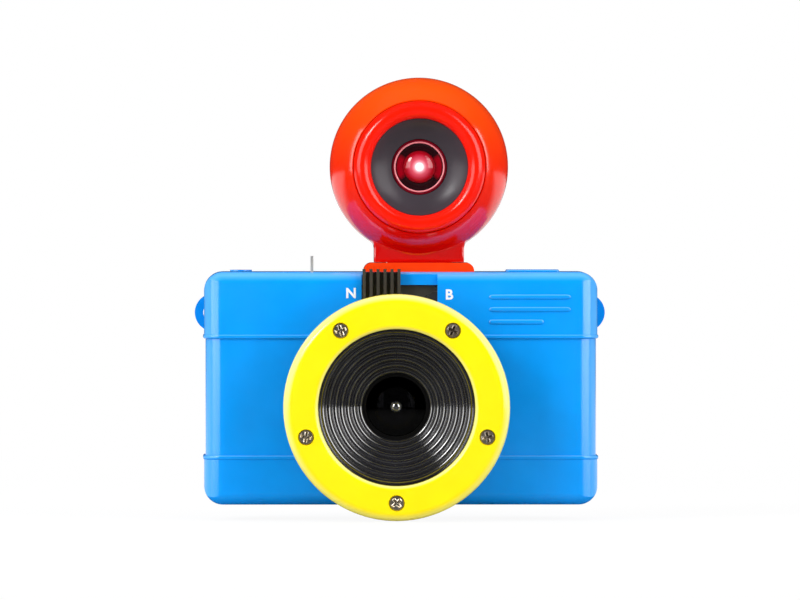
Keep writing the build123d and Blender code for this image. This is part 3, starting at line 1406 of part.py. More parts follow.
# The bezel is a rounded ring that stands in the front shell's mouth.
with BuildPart() as finder_bezel:
    with BuildSketch(along_lens(finder_x, finder_z)):
        with BuildLine():
            middle_radius = (bezel_outer_radius + bezel_inner_radius) / 2
            ThreePointArc((bezel_outer_radius, finder_front_y), (middle_radius, finder_front_y - bezel_rise),
                          (bezel_inner_radius, finder_front_y))
            Polyline((bezel_inner_radius, finder_front_y), (bezel_inner_radius, finder_front_y + finder_wall),
                     (bezel_outer_radius - bezel_seat - fit_gap, finder_front_y + finder_wall),
                     (bezel_outer_radius - bezel_seat - fit_gap, finder_front_y),
                     (bezel_outer_radius, finder_front_y))
        make_face()
    revolve(axis=fore_aft_axis(finder_x, finder_z))
finish(finder_bezel.part, "finder_bezel")

# A dark dished disc lies inside the bezel and holds the front lens.
disc_front_y = finder_front_y + 0.3
disc_inner_y = disc_front_y + cone_disc_depth
with BuildPart() as finder_cone:
    with BuildSketch(along_lens(finder_x, finder_z)):
        with BuildLine():
            Polyline((cone_disc_radius, disc_front_y), (cone_disc_radius, disc_front_y + cone_disc_wall),
                     (finder_lens_radius + cone_disc_wall, disc_inner_y + cone_disc_wall),
                     (finder_lens_radius + cone_disc_wall, disc_inner_y + cone_disc_wall + finder_lens_rim),
                     (finder_lens_radius + press_gap, disc_inner_y + cone_disc_wall + finder_lens_rim),
                     (finder_lens_radius + press_gap, disc_inner_y))
            ThreePointArc((finder_lens_radius + press_gap, disc_inner_y),
                          ((finder_lens_radius + cone_disc_radius) / 2, disc_front_y + cone_disc_depth * 0.68),
                          (cone_disc_radius, disc_front_y))
        make_face()
    revolve(axis=fore_aft_axis(finder_x, finder_z))
finish(finder_cone.part, "finder_cone")

with BuildPart() as finder_front_lens:
    with BuildSketch(along_lens(finder_x, finder_z)):
        with BuildLine():
            lens_face_y = disc_inner_y + 0.4
            dome_fall = fall_at_half(finder_dome_radius, finder_dome_rise)
            ThreePointArc((0, lens_face_y - finder_dome_rise),
                          (finder_dome_radius / 2, lens_face_y - finder_dome_rise + dome_fall),
                          (finder_dome_radius, lens_face_y))
            Polyline((finder_dome_radius, lens_face_y), (finder_lens_radius, lens_face_y),
                     (finder_lens_radius, lens_face_y + finder_lens_rim), (0, lens_face_y + finder_lens_rim),
                     (0, lens_face_y - finder_dome_rise))
        make_face()
    revolve(axis=fore_aft_axis(finder_x, finder_z))
finish(finder_front_lens.part, "finder_front_lens")

# The eyepiece is a flanged ring in the rear shell's mouth; the eye lens is seated in it.
with BuildPart() as finder_eyepiece:
    with BuildSketch(along_lens(finder_x, finder_z)):
        with BuildLine():
            Polyline((eyepiece_hole_radius - fit_gap, finder_back_y - eyepiece_length),
                     (eyepiece_hole_radius - fit_gap, finder_back_y),
                     (eyepiece_radius, finder_back_y),
                     (eyepiece_radius, finder_back_y + eyepiece_length - 0.8),
                     (eyepiece_radius - 0.8, finder_back_y + eyepiece_length),
                     (eye_hole_radius + 1.2, finder_back_y + eyepiece_length),
                     (eye_hole_radius, finder_back_y + eyepiece_length - 1.2),
                     (eye_hole_radius, finder_back_y - eyepiece_length + eye_lens_thickness),
                     (eye_lens_radius + press_gap, finder_back_y - eyepiece_length + eye_lens_thickness),
                     (eye_lens_radius + press_gap, finder_back_y - eyepiece_length),
                     close=True)
        make_face()
    revolve(axis=fore_aft_axis(finder_x, finder_z))
finish(finder_eyepiece.part, "finder_eyepiece")

with BuildPart() as finder_eye_lens:
    with BuildSketch(facing_front(finder_back_y - eyepiece_length + eye_lens_thickness)):
        with Locations((finder_x, finder_z)):
            Circle(eye_lens_radius)
    extrude(amount=eye_lens_thickness)
finish(finder_eye_lens.part, "finder_eye_lens")
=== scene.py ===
import json
import logging
import math
from dataclasses import dataclass
from enum import Enum

import bpy
import numpy as np
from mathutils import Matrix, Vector

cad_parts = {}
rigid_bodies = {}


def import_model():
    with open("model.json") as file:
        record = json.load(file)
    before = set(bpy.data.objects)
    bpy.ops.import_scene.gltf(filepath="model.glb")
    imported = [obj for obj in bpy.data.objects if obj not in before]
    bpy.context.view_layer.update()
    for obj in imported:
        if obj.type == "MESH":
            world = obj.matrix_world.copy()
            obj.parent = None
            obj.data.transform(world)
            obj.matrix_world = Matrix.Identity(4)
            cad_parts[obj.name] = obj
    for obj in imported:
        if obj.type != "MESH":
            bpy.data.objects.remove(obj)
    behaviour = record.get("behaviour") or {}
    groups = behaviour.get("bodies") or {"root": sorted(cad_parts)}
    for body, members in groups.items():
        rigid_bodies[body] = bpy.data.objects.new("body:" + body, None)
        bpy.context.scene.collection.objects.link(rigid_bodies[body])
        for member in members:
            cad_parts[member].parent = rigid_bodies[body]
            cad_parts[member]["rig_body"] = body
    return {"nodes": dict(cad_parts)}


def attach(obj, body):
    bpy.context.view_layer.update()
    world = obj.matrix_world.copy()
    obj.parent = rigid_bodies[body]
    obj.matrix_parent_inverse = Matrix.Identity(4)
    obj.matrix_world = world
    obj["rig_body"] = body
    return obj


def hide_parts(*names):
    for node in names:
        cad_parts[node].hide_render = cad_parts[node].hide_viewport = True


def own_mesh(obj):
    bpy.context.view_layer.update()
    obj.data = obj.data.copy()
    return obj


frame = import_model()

LOG = logging.getLogger("toy_camera")
MM = 0.001
Colour = tuple[float, float, float]


def from_screen(red: int, green: int, blue: int) -> Colour:
    """Turn a screen colour, 0 to 255 a channel, into the linear values that shaders use.

    Args:
        red: The red channel.
        green: The green channel.
        blue: The blue channel.

    Returns:
        The linear colour.
    """
    raw = np.array([red, green, blue]) / 255
    linear = np.where(raw <= 0.04045, raw / 12.92, ((raw + 0.055) / 1.055) ** 2.4)
    return tuple(float(value) for value in linear)


# ------------------------------------------------------------------ surfaces


@dataclass
class Surface:
    """A grid of points, rows by columns, that becomes one smooth mesh.

    Attributes:
        points: The grid, shaped rows, columns, 3, in millimetres.
        closed_rows: The last row is joined to the first.
        closed_columns: The last column is joined to the first.
        pole_first: The first row is closed onto its middle point.
        pole_last: The last row is closed onto its middle point.
    """

    points: np.ndarray
    closed_rows: bool = False
    closed_columns: bool = True
    pole_first: bool = False
    pole_last: bool = False

    def faces(self) -> list[list[int]]:
        """Number the corners of every face: each grid cell is a quad, each pole a fan of triangles.

        Returns:
            The corner numbers of each face.
        """
        rows, columns = self.points.shape[:2]
        index = np.arange(rows * columns).reshape(rows, columns)
        if self.closed_columns:
            index = np.concatenate([index, index[:, :1]], axis=1)
        if self.closed_rows:
            index = np.concatenate([index, index[:1]], axis=0)
        quads = np.stack([index[:-1, :-1], index[:-1, 1:], index[1:, 1:], index[1:, :-1]], axis=-1)
        found = quads.reshape(-1, 4).tolist()
        pole = rows * columns
        if self.pole_first:
            fan = np.stack([np.full(index.shape[1] - 1, pole), index[0, 1:], index[0, :-1]], axis=-1)
            found += fan.tolist()
            pole += 1
        if self.pole_last:
            last = index[rows - 1]
            fan = np.stack([np.full(len(last) - 1, pole), last[:-1], last[1:]], axis=-1)
            found += fan.tolist()
        return found

    def corners(self) -> np.ndarray:
        """List every point in metres, with the pole points after the grid's own.

        Returns:
            The points, shaped count, 3.
        """
        flat = self.points.reshape(-1, 3)
        extra = []
        if self.pole_first:
            extra.append(self.points[0].mean(axis=0))
        if self.pole_last:
            extra.append(self.points[-1].mean(axis=0))
        return (np.vstack([flat, *extra]) if extra else flat) * MM

    def build(self, name: str, crease_deg: float = 40.0) -> bpy.types.Object:
        """Make the surface an object.

        Args:
            name: The object's name.
            crease_deg: Folds sharper than this angle stay crisp.

        Returns:
            The new object.
        """
        return together(name, [self], crease_deg)


def together(name: str, surfaces: list[Surface], crease_deg: float = 40.0) -> bpy.types.Object:
    """Make one mesh object of several surfaces, faces turned outwards and sharp folds marked.

    The sign of the summed corner-to-corner volumes tells whether the faces point inwards.

    Args:
        name: The object's name.
        surfaces: The surfaces.
        crease_deg: Folds sharper than this angle stay crisp.

    Returns:
        The new object.
    """
    corners, faces = np.zeros((0, 3)), []
    for surface in surfaces:
        faces += [[corner + len(corners) for corner in face] for face in surface.faces()]
        corners = np.vstack([corners, surface.corners()])
    ends = np.array([[face[0], face[1], face[2], face[-1]] for face in faces])
    a, b, c, d = (corners[ends[:, i]] for i in range(4))
    volume = np.einsum("ij,ij->i", a, np.cross(b, c)).sum() + np.einsum("ij,ij->i", a, np.cross(c, d)).sum()
    if volume < 0:
        faces = [face[::-1] for face in faces]
    mesh = bpy.data.meshes.new(name)
    mesh.from_pydata(corners.tolist(), [], faces)
    mesh.update()
    mesh.polygons.foreach_set("use_smooth", np.ones(len(mesh.polygons), bool))
    mesh.set_sharp_from_angle(angle=math.radians(crease_deg))
    thing = bpy.data.objects.new(name, mesh)
    bpy.context.scene.collection.objects.link(thing)
    return thing


def carried_round(profile: np.ndarray, x: float, z: float, columns: int = 192, start_deg: float = 0.0,
                  **ends: bool) -> Surface:
    """Carry a profile of (radius, depth) points once round a fore-and-aft axis.

    Each point goes to x + radius times cosine, depth, z + radius times sine of the turn.

    Args:
        profile: The points, shaped count, 2.
        x: Where the axis is, to the right.
        z: Where the axis is, upwards.
        columns: Steps in one turn.
        start_deg: Where the turn starts.
        ends: How the surface's rows end, as in Surface.

    Returns:
        The surface.
    """
    turn = np.linspace(0, 2 * np.pi, columns, endpoint=False) + math.radians(start_deg)
    radius, depth = profile[:, :1], profile[:, 1:2]
    points = np.stack([x + radius * np.cos(turn), depth + 0 * turn, z + radius * np.sin(turn)], axis=-1)
    return Surface(points, **ends)


def arc(centre: tuple[float, float], radius: float, start_deg: float, end_deg: float,
        count: int) -> np.ndarray:
    """Points along an arc of a profile: centre plus radius times (cosine, sine).

    Args:
        centre: The arc's centre, as (radius, depth).
        radius: The arc's own radius.
        start_deg: Where it starts.
        end_deg: Where it ends.
        count: How many points.

    Returns:
        The points, shaped count, 2.
    """
    turn = np.radians(np.linspace(start_deg, end_deg, count))
    return np.stack([centre[0] + radius * np.cos(turn), centre[1] + radius * np.sin(turn)], axis=-1)


def smooth_step(value: np.ndarray, low: float, high: float) -> np.ndarray:
    """Rise from 0 to 1 between low and high along a cubic with level ends.

    Args:
        value: Where to read the curve.
        low: Where the rise starts.
        high: Where it ends.

    Returns:
        The heights.
    """
    t = np.clip((value - low) / (high - low), 0, 1)
    return t * t * (3 - 2 * t)


# ------------------------------------------------------------------ shader sheets and shared effects


class Sheet:
    """A node tree with short calls for adding and joining nodes."""

    def __init__(self, tree: bpy.types.NodeTree) -> None:
        """Keep the tree that the calls add to."""
        self.tree = tree

    def add(self, kind: str, settings: dict | None = None, **values: object) -> bpy.types.Node:
        """Add a node, set its properties and fill or join its inputs.

        Args:
            kind: The node's type, without its ShaderNode prefix.
            settings: Properties to set on the node.
            values: Inputs by name, with underscores for spaces, or by number as i0, i1 and so on: a
                number, a colour or an output socket.

        Returns:
            The node.
        """
        node = self.tree.nodes.new("ShaderNode" + kind)
        for key, value in (settings or {}).items():
            setattr(node, key, value)
        for key, value in values.items():
            where = int(key[1:]) if key[1:].isdigit() else key.replace("_", " ")
            self.put(value, node.inputs[where])
        return node

    def put(self, value: object, socket: bpy.types.NodeSocket) -> None:
        """Join an output to a socket, or set the socket's own value.

        Args:
            value: An output socket, a number or a colour.
            socket: The input to fill.
        """
        if isinstance(value, bpy.types.NodeSocket):
            self.tree.links.new(value, socket)
        elif isinstance(value, tuple) and len(value) == 3 and socket.type == "RGBA":
            socket.default_value = (*value, 1.0)
        else:
            socket.default_value = value

    def maths(self, step: str, first: object, second: object = 0.0,
              clamp: bool = False) -> bpy.types.NodeSocket:
        """Add a Math node and give its result.

        Args:
            step: The operation.
            first: Its first value.
            second: Its second value.
            clamp: Keep the result between 0 and 1.

        Returns:
            The result's socket.
        """
        return self.add("Math", {"operation": step, "use_clamp": clamp}, i0=first, i1=second).outputs[0]

    def spread(self, value: object, low: float, high: float, to_low: float = 0.0,
               to_high: float = 1.0) -> bpy.types.NodeSocket:
        """Map a value from one range to another, held at both ends.

        Args:
            value: The socket to read.
            low: The start of its range.
            high: The end of its range.
            to_low: What the start becomes.
            to_high: What the end becomes.

        Returns:
            The result's socket.
        """
        node = self.add("MapRange", None, Value=value, From_Min=low, From_Max=high,
                        To_Min=to_low, To_Max=to_high)
        return node.outputs["Result"]

    def ramp(self, share: object, stops: list | tuple) -> bpy.types.NodeSocket:
        """Pass through a row of colours.

        Args:
            share: The socket to read, 0 to 1.
            stops: Pairs of a share and its colour, in order.

        Returns:
            The colour's socket.
        """
        node = self.add("ValToRGB", None, Fac=share)
        elements = node.color_ramp.elements
        while len(elements) < len(stops):
            elements.new(0.5)
        for element, (at, colour) in zip(elements, stops):
            element.position, element.color = at, (*colour, 1.0)
        return node.outputs[0]

    def blend(self, share: object, first: object, second: object) -> bpy.types.NodeSocket:
        """Mix two colours, which a Mix node takes at its inputs 6 and 7 and gives at its output 2.

        Args:
            share: How much of the second there is.
            first: The first colour.
            second: The second colour.

        Returns:
            The mixed colour's socket.
        """
        return self.add("Mix", {"data_type": "RGBA"}, i0=share, i6=first, i7=second).outputs[2]


@dataclass
class Blank:
    """A new node material, ready for its nodes.

    Attributes:
        made: The material.
        sheet: Its sheet.
        skin: Its Principled shader.
        place: Its Object coordinates, in metres.
    """

    made: bpy.types.Material
    sheet: Sheet
    skin: bpy.types.Node
    place: bpy.types.NodeSocket

    @classmethod
    def start(cls, name: str) -> "Blank":
        """Start a material.

        Args:
            name: The material's name.

        Returns:
            The blank.
        """
        made = bpy.data.materials.new(name)
        made.use_nodes = True
        sheet, skin = Sheet(made.node_tree), made.node_tree.nodes["Principled BSDF"]
        return cls(made, sheet, skin, sheet.add("TexCoord").outputs["Object"])

    def settle(self, **values: float) -> None:
        """Set the shader's own numbers.

        Args:
            values: The numbers by the sockets' names, with underscores for spaces.
        """
        for name, value in values.items():
            self.skin.inputs[name.replace("_", " ")].default_value = value

    def feed(self, name: str, value: object) -> None:
        """Join a result to the shader's socket of that name."""
        self.sheet.put(value, self.skin.inputs[name])

    def roughen(self, height: object, depth: float, strength: float) -> None:
        """Bump the surface.

        Args:
            height: The socket of the bump's heights.
            depth: How deep it is, in metres.
            strength: How strongly it shows.
        """
        bump = self.sheet.add("Bump", None, Height=height, Distance=depth, Strength=strength)
        self.feed("Normal", bump.outputs[0])


# Noise keeps mostly between 0.3 and 0.7, so the effects below spread out parts of that range.
# The scales of the slow waves and of the gloss drift, as shares of the grain's own scale.
SLOW_SHARE = 0.09
DRIFT_SHARE = 0.035
# The turn and the stretch of each set of rub marks.
SCUFF_SETS = ((0.5, 14.0), (-0.9, 18.0))
# Dust: specks to the metre, its colour, and how much of it lies on a face that doesn't look up.
DUST_SCALE = 2600.0
DUST_COLOUR = (0.62, 0.6, 0.57)
DUST_ASIDE = 0.05


class Effect(Enum):
    """The shared effects, each one shader node group."""

    GRAIN = "mould_grain"
    SCUFFS = "fine_scuffs"
    DUST = "settled_dust"


class EffectShop:
    """Builds each shared effect once and places it in materials."""

    def __init__(self) -> None:
        """Build the three groups."""
        self.groups = {
            Effect.GRAIN: self._grain(),
            Effect.SCUFFS: self._scuffs(),
            Effect.DUST: self._dust(),
        }

    def place(self, sheet: Sheet, effect: Effect, **values: object) -> bpy.types.Node:
        """Add an effect to a material.

        Args:
            sheet: The material's sheet.
            effect: Which effect.
            values: Its inputs by name.

        Returns:
            The group node.
        """
        return sheet.add("Group", {"node_tree": self.groups[effect]}, **values)

    @staticmethod
    def _start(effect: Effect, inputs: dict[str, float | None], outputs: tuple[str, ...]) -> tuple:
        """Start a group with its named sockets.

        Args:
            effect: Which effect.
            inputs: Number inputs with their defaults; None makes a vector input.
            outputs: Number outputs.

        Returns:
            The tree, its sheet, its input node and its output node.
        """
        tree = bpy.data.node_groups.new(effect.value, "ShaderNodeTree")
        for name, default in inputs.items():
            kind = "NodeSocketVector" if default is None else "NodeSocketFloat"
            socket = tree.interface.new_socket(name=name, in_out="INPUT", socket_type=kind)
            if default is not None:
                socket.default_value = default
        for name in outputs:
            tree.interface.new_socket(name=name, in_out="OUTPUT", socket_type="NodeSocketFloat")
        return tree, Sheet(tree), tree.nodes.new("NodeGroupInput"), tree.nodes.new("NodeGroupOutput")

    def _grain(self) -> bpy.types.NodeTree:
        """Moulded skin: fine grain on slow flow waves, with slow drifts of tone and gloss.

        Returns:
            The group.
        """
        tree, sheet, given, out = self._start(
            Effect.GRAIN, {"Place": None, "Scale": 900.0, "Wave": 0.4}, ("Height", "Gloss", "Tone"))
        place, scale = given.outputs["Place"], given.outputs["Scale"]
        fine = sheet.add("TexNoise", None, Vector=place, Scale=scale, Detail=5.0, Roughness=0.6).outputs[0]
        slow_scale = sheet.maths("MULTIPLY", scale, SLOW_SHARE)
        slow = sheet.add("TexNoise", None, Vector=place, Scale=slow_scale, Detail=2.0).outputs[0]
        drift_scale = sheet.maths("MULTIPLY", scale, DRIFT_SHARE)
        drift = sheet.add("TexNoise", None, Vector=place, Scale=drift_scale, Detail=3.0,
                          Distortion=0.6).outputs[0]
        waved = sheet.maths("MULTIPLY", slow, given.outputs["Wave"])
        sheet.put(sheet.maths("ADD", fine, waved), out.inputs["Height"])
        sheet.put(sheet.spread(drift, 0.3, 0.7, -1.0, 1.0), out.inputs["Gloss"])
        sheet.put(sheet.spread(slow, 0.35, 0.7), out.inputs["Tone"])
        return tree

    def _scuffs(self) -> bpy.types.NodeTree:
        """Hair-thin rub marks: two crossed sets of long stretched noise, kept only at their peaks.

        Returns:
            The group.
        """
        tree, sheet, given, out = self._start(
            Effect.SCUFFS, {"Place": None, "Scale": 60.0, "Amount": 0.5}, ("Mask",))
        found = []
        for turn, stretch in SCUFF_SETS:
            laid = sheet.add("Mapping", None, Vector=given.outputs["Place"])
            laid.inputs["Rotation"].default_value = (0.3, turn, 0.2)
            laid.inputs["Scale"].default_value = (1.0, 1.0, stretch)
            noise = sheet.add("TexNoise", None, Vector=laid.outputs[0], Scale=given.outputs["Scale"],
                              Detail=4.0)
            found.append(sheet.spread(noise.outputs[0], 0.66, 0.74))
        both = sheet.maths("MAXIMUM", *found)
        sheet.put(sheet.maths("MULTIPLY", both, given.outputs["Amount"]), out.inputs["Mask"])
        return tree

    def _dust(self) -> bpy.types.NodeTree:
        """Settled dust: speckled noise where the surface looks upwards.

        Returns:
            The group.
        """
        tree, sheet, given, out = self._start(
            Effect.DUST, {"Place": None, "Facing": None, "Amount": 0.3}, ("Mask",))
        up = sheet.add("SeparateXYZ", None, Vector=given.outputs["Facing"]).outputs[2]
        level = sheet.spread(up, 0.35, 1.0, DUST_ASIDE)
        speck = sheet.add("TexNoise", None, Vector=given.outputs["Place"], Scale=DUST_SCALE,
                          Detail=3.0).outputs[0]
        specks = sheet.spread(speck, 0.55, 0.75)
        laid = sheet.maths("MULTIPLY", level, specks)
        sheet.put(sheet.maths("MULTIPLY", laid, given.outputs["Amount"]), out.inputs["Mask"])
        return tree


# ------------------------------------------------------------------ finishes


@dataclass(frozen=True)
class MouldedPlastic:
    """Glossy injection-moulded plastic with fine grain, slow gloss drift, rub marks and a little dust,
    and where set painted light: tones of light by height and a painted highlight on rounded front edges.

    Attributes:
        name: The material's name.
        colour: Its main colour, linear, or the lowest of its painted light tones.
        drift: The colour it drifts towards, if it does.
        roughness: How matt it is.
        grain_scale: Grains to the metre.
        grain_depth: The bump's height, in metres.
        grain_strength: How strongly the bump shows.
        wave: How high the slow waves are against the fine grain.
        gloss_drift: How far the roughness drifts up and down.
        coat: Weight of the clear skin over it.
        coat_roughness: How matt the skin is.
        shine: The plain surface's specular level.
        bending: Its index of refraction.
        scuffs: How strong the rub marks are.
        scuff_scale: Rub marks to the metre.
        scuff_roughness: How much rougher the rub marks are.
        dust: How much dust lies on top faces.
        heights: Where the main colour and the painted light tones stand, in metres up, if it has them.
        painted_light_tones: The colours the piece goes through with its height, from the main one: painted
            light that stands for the light falling more strongly on its top.
        painted_edge_highlight: The paler colour painted on its rounded front edges as a highlight, if it
            has one.
        painted_edge_highlight_below: The share of that painted highlight on edges that face down.
        painted_edge_highlight_starts: The normal's fore-and-aft part, from where the painted highlight comes
            in to where it is full.
        painted_edge_highlight_ends: The same, from where it begins to go to where it is gone.
        painted_edge_highlight_levels: The normal's upward part, from the edges that face down to the others.
    """

    name: str
    colour: Colour
    drift: Colour | None = None
    roughness: float = 0.32
    grain_scale: float = 1500.0
    grain_depth: float = 0.000005
    grain_strength: float = 0.6
    wave: float = 0.5
    gloss_drift: float = 0.04
    coat: float = 0.0
    coat_roughness: float = 0.12
    shine: float = 0.4
    bending: float = 1.5
    scuffs: float = 0.35
    scuff_scale: float = 70.0
    scuff_roughness: float = 0.12
    dust: float = 0.003
    heights: tuple[float, ...] = ()
    painted_light_tones: tuple[Colour, ...] = ()
    painted_edge_highlight: Colour | None = None
    painted_edge_highlight_below: float = 0.0
    painted_edge_highlight_starts: tuple[float, float] = (-0.97, -0.7)
    painted_edge_highlight_ends: tuple[float, float] = (-0.3, -0.05)
    painted_edge_highlight_levels: tuple[float, float] = (-0.5, 0.1)

    def material(self, shop: EffectShop) -> bpy.types.Material:
        """Build the node material.

        Args:
            shop: Where the shared effects come from.

        Returns:
            The material.
        """
        blank = Blank.start(self.name)
        sheet, place = blank.sheet, blank.place
        facing = sheet.add("NewGeometry").outputs["Normal"]
        grain = shop.place(sheet, Effect.GRAIN, Place=place, Scale=self.grain_scale, Wave=self.wave)
        rubbed = shop.place(sheet, Effect.SCUFFS, Place=place, Scale=self.scuff_scale, Amount=self.scuffs)
        dusty = shop.place(sheet, Effect.DUST, Place=place, Facing=facing, Amount=self.dust).outputs[0]
        # Tones by height, where set, are painted light; so is the pale colour on rounded edges below.
        toned: object = self.painted_light_by_height(blank) if self.painted_light_tones else self.colour
        if self.drift is not None:
            toned = sheet.blend(grain.outputs["Tone"], toned, self.drift)
        # A painted highlight: paler colour on rounded edges by the way they face, not their own colour.
        if self.painted_edge_highlight is not None:
            toned = sheet.blend(self.painted_edge_highlight_mask(sheet, facing), toned, self.painted_edge_highlight)
        blank.feed("Base Color", sheet.blend(dusty, toned, DUST_COLOUR))
        rough = sheet.maths("MULTIPLY_ADD", grain.outputs["Gloss"], self.gloss_drift)
        rough.node.inputs[2].default_value = self.roughness
        marked = sheet.maths("MULTIPLY", rubbed.outputs[0], self.scuff_roughness)
        rougher = sheet.maths("ADD", rough, marked, clamp=True)
        blank.feed("Roughness", sheet.maths("ADD", rougher, dusty, clamp=True))
        blank.settle(Coat_Weight=self.coat, Coat_Roughness=self.coat_roughness,
                     Specular_IOR_Level=self.shine, IOR=self.bending)
        blank.roughen(grain.outputs["Height"], self.grain_depth, self.grain_strength)
        return blank.made

    def painted_light_by_height(self, blank: Blank) -> bpy.types.NodeSocket:
        """Pass through the tones of painted light with the height above the ground.

        Args:
            blank: The material.

        Returns:
            The colour's socket.
        """
        height = blank.sheet.add("SeparateXYZ", None, Vector=blank.place).outputs[2]
        low, high = self.heights[0], self.heights[-1]
        colours = (self.colour, *self.painted_light_tones)
        stops = [((at - low) / (high - low), colour) for at, colour in zip(self.heights, colours)]
        return blank.sheet.ramp(blank.sheet.spread(height, low, high), stops)

    def painted_edge_highlight_mask(self, sheet: Sheet, facing: bpy.types.NodeSocket) -> bpy.types.NodeSocket:
        """Find the edges that turn away from the front, where the highlight is painted: 1 there, 0 on flat
        fronts and on sides.

        Args:
            sheet: The material's sheet.
            facing: The surface's normal.

        Returns:
            The mask's socket.
        """
        ahead_and_up = sheet.add("SeparateXYZ", None, Vector=facing)
        ahead = ahead_and_up.outputs[1]
        turned = sheet.maths("MULTIPLY", sheet.spread(ahead, *self.painted_edge_highlight_starts),
                             sheet.spread(ahead, *self.painted_edge_highlight_ends, 1.0, 0.0))
        level = sheet.spread(ahead_and_up.outputs[2], *self.painted_edge_highlight_levels, self.painted_edge_highlight_below)
        return sheet.maths("MULTIPLY", turned, level)


@dataclass(frozen=True)
class WornMetal:
    """Plated steel with fine grain, rub marks and dull, darker spots in the plating.

    Attributes:
        name: The material's name.
        colour: The bright plating's colour, linear.
        tarnish: The colour of its dull spots.
        roughness: How matt it is.
        grain_scale: Grains to the metre.
        grain_depth: The bump's height, in metres.
        grain_strength: How strongly the bump shows.
        wave: How high the slow waves are against the fine grain.
        spots: The tones between which the bright plating gives way to the dull spots.
        spot_roughness: How much rougher the spots are.
        scuffs: How strong the rub marks are.
        scuff_scale: Rub marks to the metre.
        scuff_roughness: How much rougher the rub marks are.
    """

    name: str
    colour: Colour
    tarnish: Colour
    roughness: float = 0.28
    grain_scale: float = 1800.0
    grain_depth: float = 0.00003
    grain_strength: float = 0.7
    wave: float = 0.8
    spots: tuple[float, float] = (0.45, 0.85)
    spot_roughness: float = 0.18
    scuffs: float = 0.8
    scuff_scale: float = 240.0
    scuff_roughness: float = 0.15

    def material(self, shop: EffectShop) -> bpy.types.Material:
        """Build the node material.

        Args:
            shop: Where the shared effects come from.

        Returns:
            The material.
        """
        blank = Blank.start(self.name)
        sheet, place = blank.sheet, blank.place
        grain = shop.place(sheet, Effect.GRAIN, Place=place, Scale=self.grain_scale, Wave=self.wave)
        rubbed = shop.place(sheet, Effect.SCUFFS, Place=place, Scale=self.scuff_scale, Amount=self.scuffs)
        spots = sheet.spread(grain.outputs["Tone"], *self.spots)
        blank.feed("Base Color", sheet.blend(spots, self.colour, self.tarnish))
        rough = sheet.maths("MULTIPLY_ADD", spots, self.spot_roughness)
        rough.node.inputs[2].default_value = self.roughness
        marked = sheet.maths("MULTIPLY", rubbed.outputs[0], self.scuff_roughness)
        blank.feed("Roughness", sheet.maths("ADD", rough, marked, clamp=True))
        blank.settle(Metallic=1.0)
        blank.roughen(grain.outputs["Height"], self.grain_depth, self.grain_strength)
        return blank.made


@dataclass(frozen=True)
class MouldedLens:
    """Clear or tinted lens plastic with a polished face and faint smears.

    Attributes:
        name: The material's name.
        tint: The colour light takes on inside it, linear.
        roughness: How matt its faces are.
        smear: How much smears dull it.
        smear_scale: The grain's scale, to the metre; the smears are its slow waves.
        smeared_share: How bright the tint stays under a smear.
        bending: Its index of refraction.
    """

    name: str
    tint: Colour
    roughness: float = 0.02
    smear: float = 0.05
    smear_scale: float = 700.0
    smeared_share: float = 0.93
    bending: float = 1.49

    def material(self, shop: EffectShop) -> bpy.types.Material:
        """Build the node material.

        Args:
            shop: Where the shared effects come from.

        Returns:
            The material.
        """
        blank = Blank.start(self.name)
        sheet = blank.sheet
        tone = shop.place(sheet, Effect.GRAIN, Place=blank.place, Scale=self.smear_scale).outputs["Tone"]
        smears = sheet.maths("MULTIPLY", tone, self.smear)
        blank.feed("Roughness", sheet.maths("ADD", smears, self.roughness))
        smeared = tuple(self.smeared_share * value for value in self.tint)
        blank.feed("Base Color", sheet.blend(tone, self.tint, smeared))
        blank.settle(Transmission_Weight=1.0, IOR=self.bending)
        return blank.made


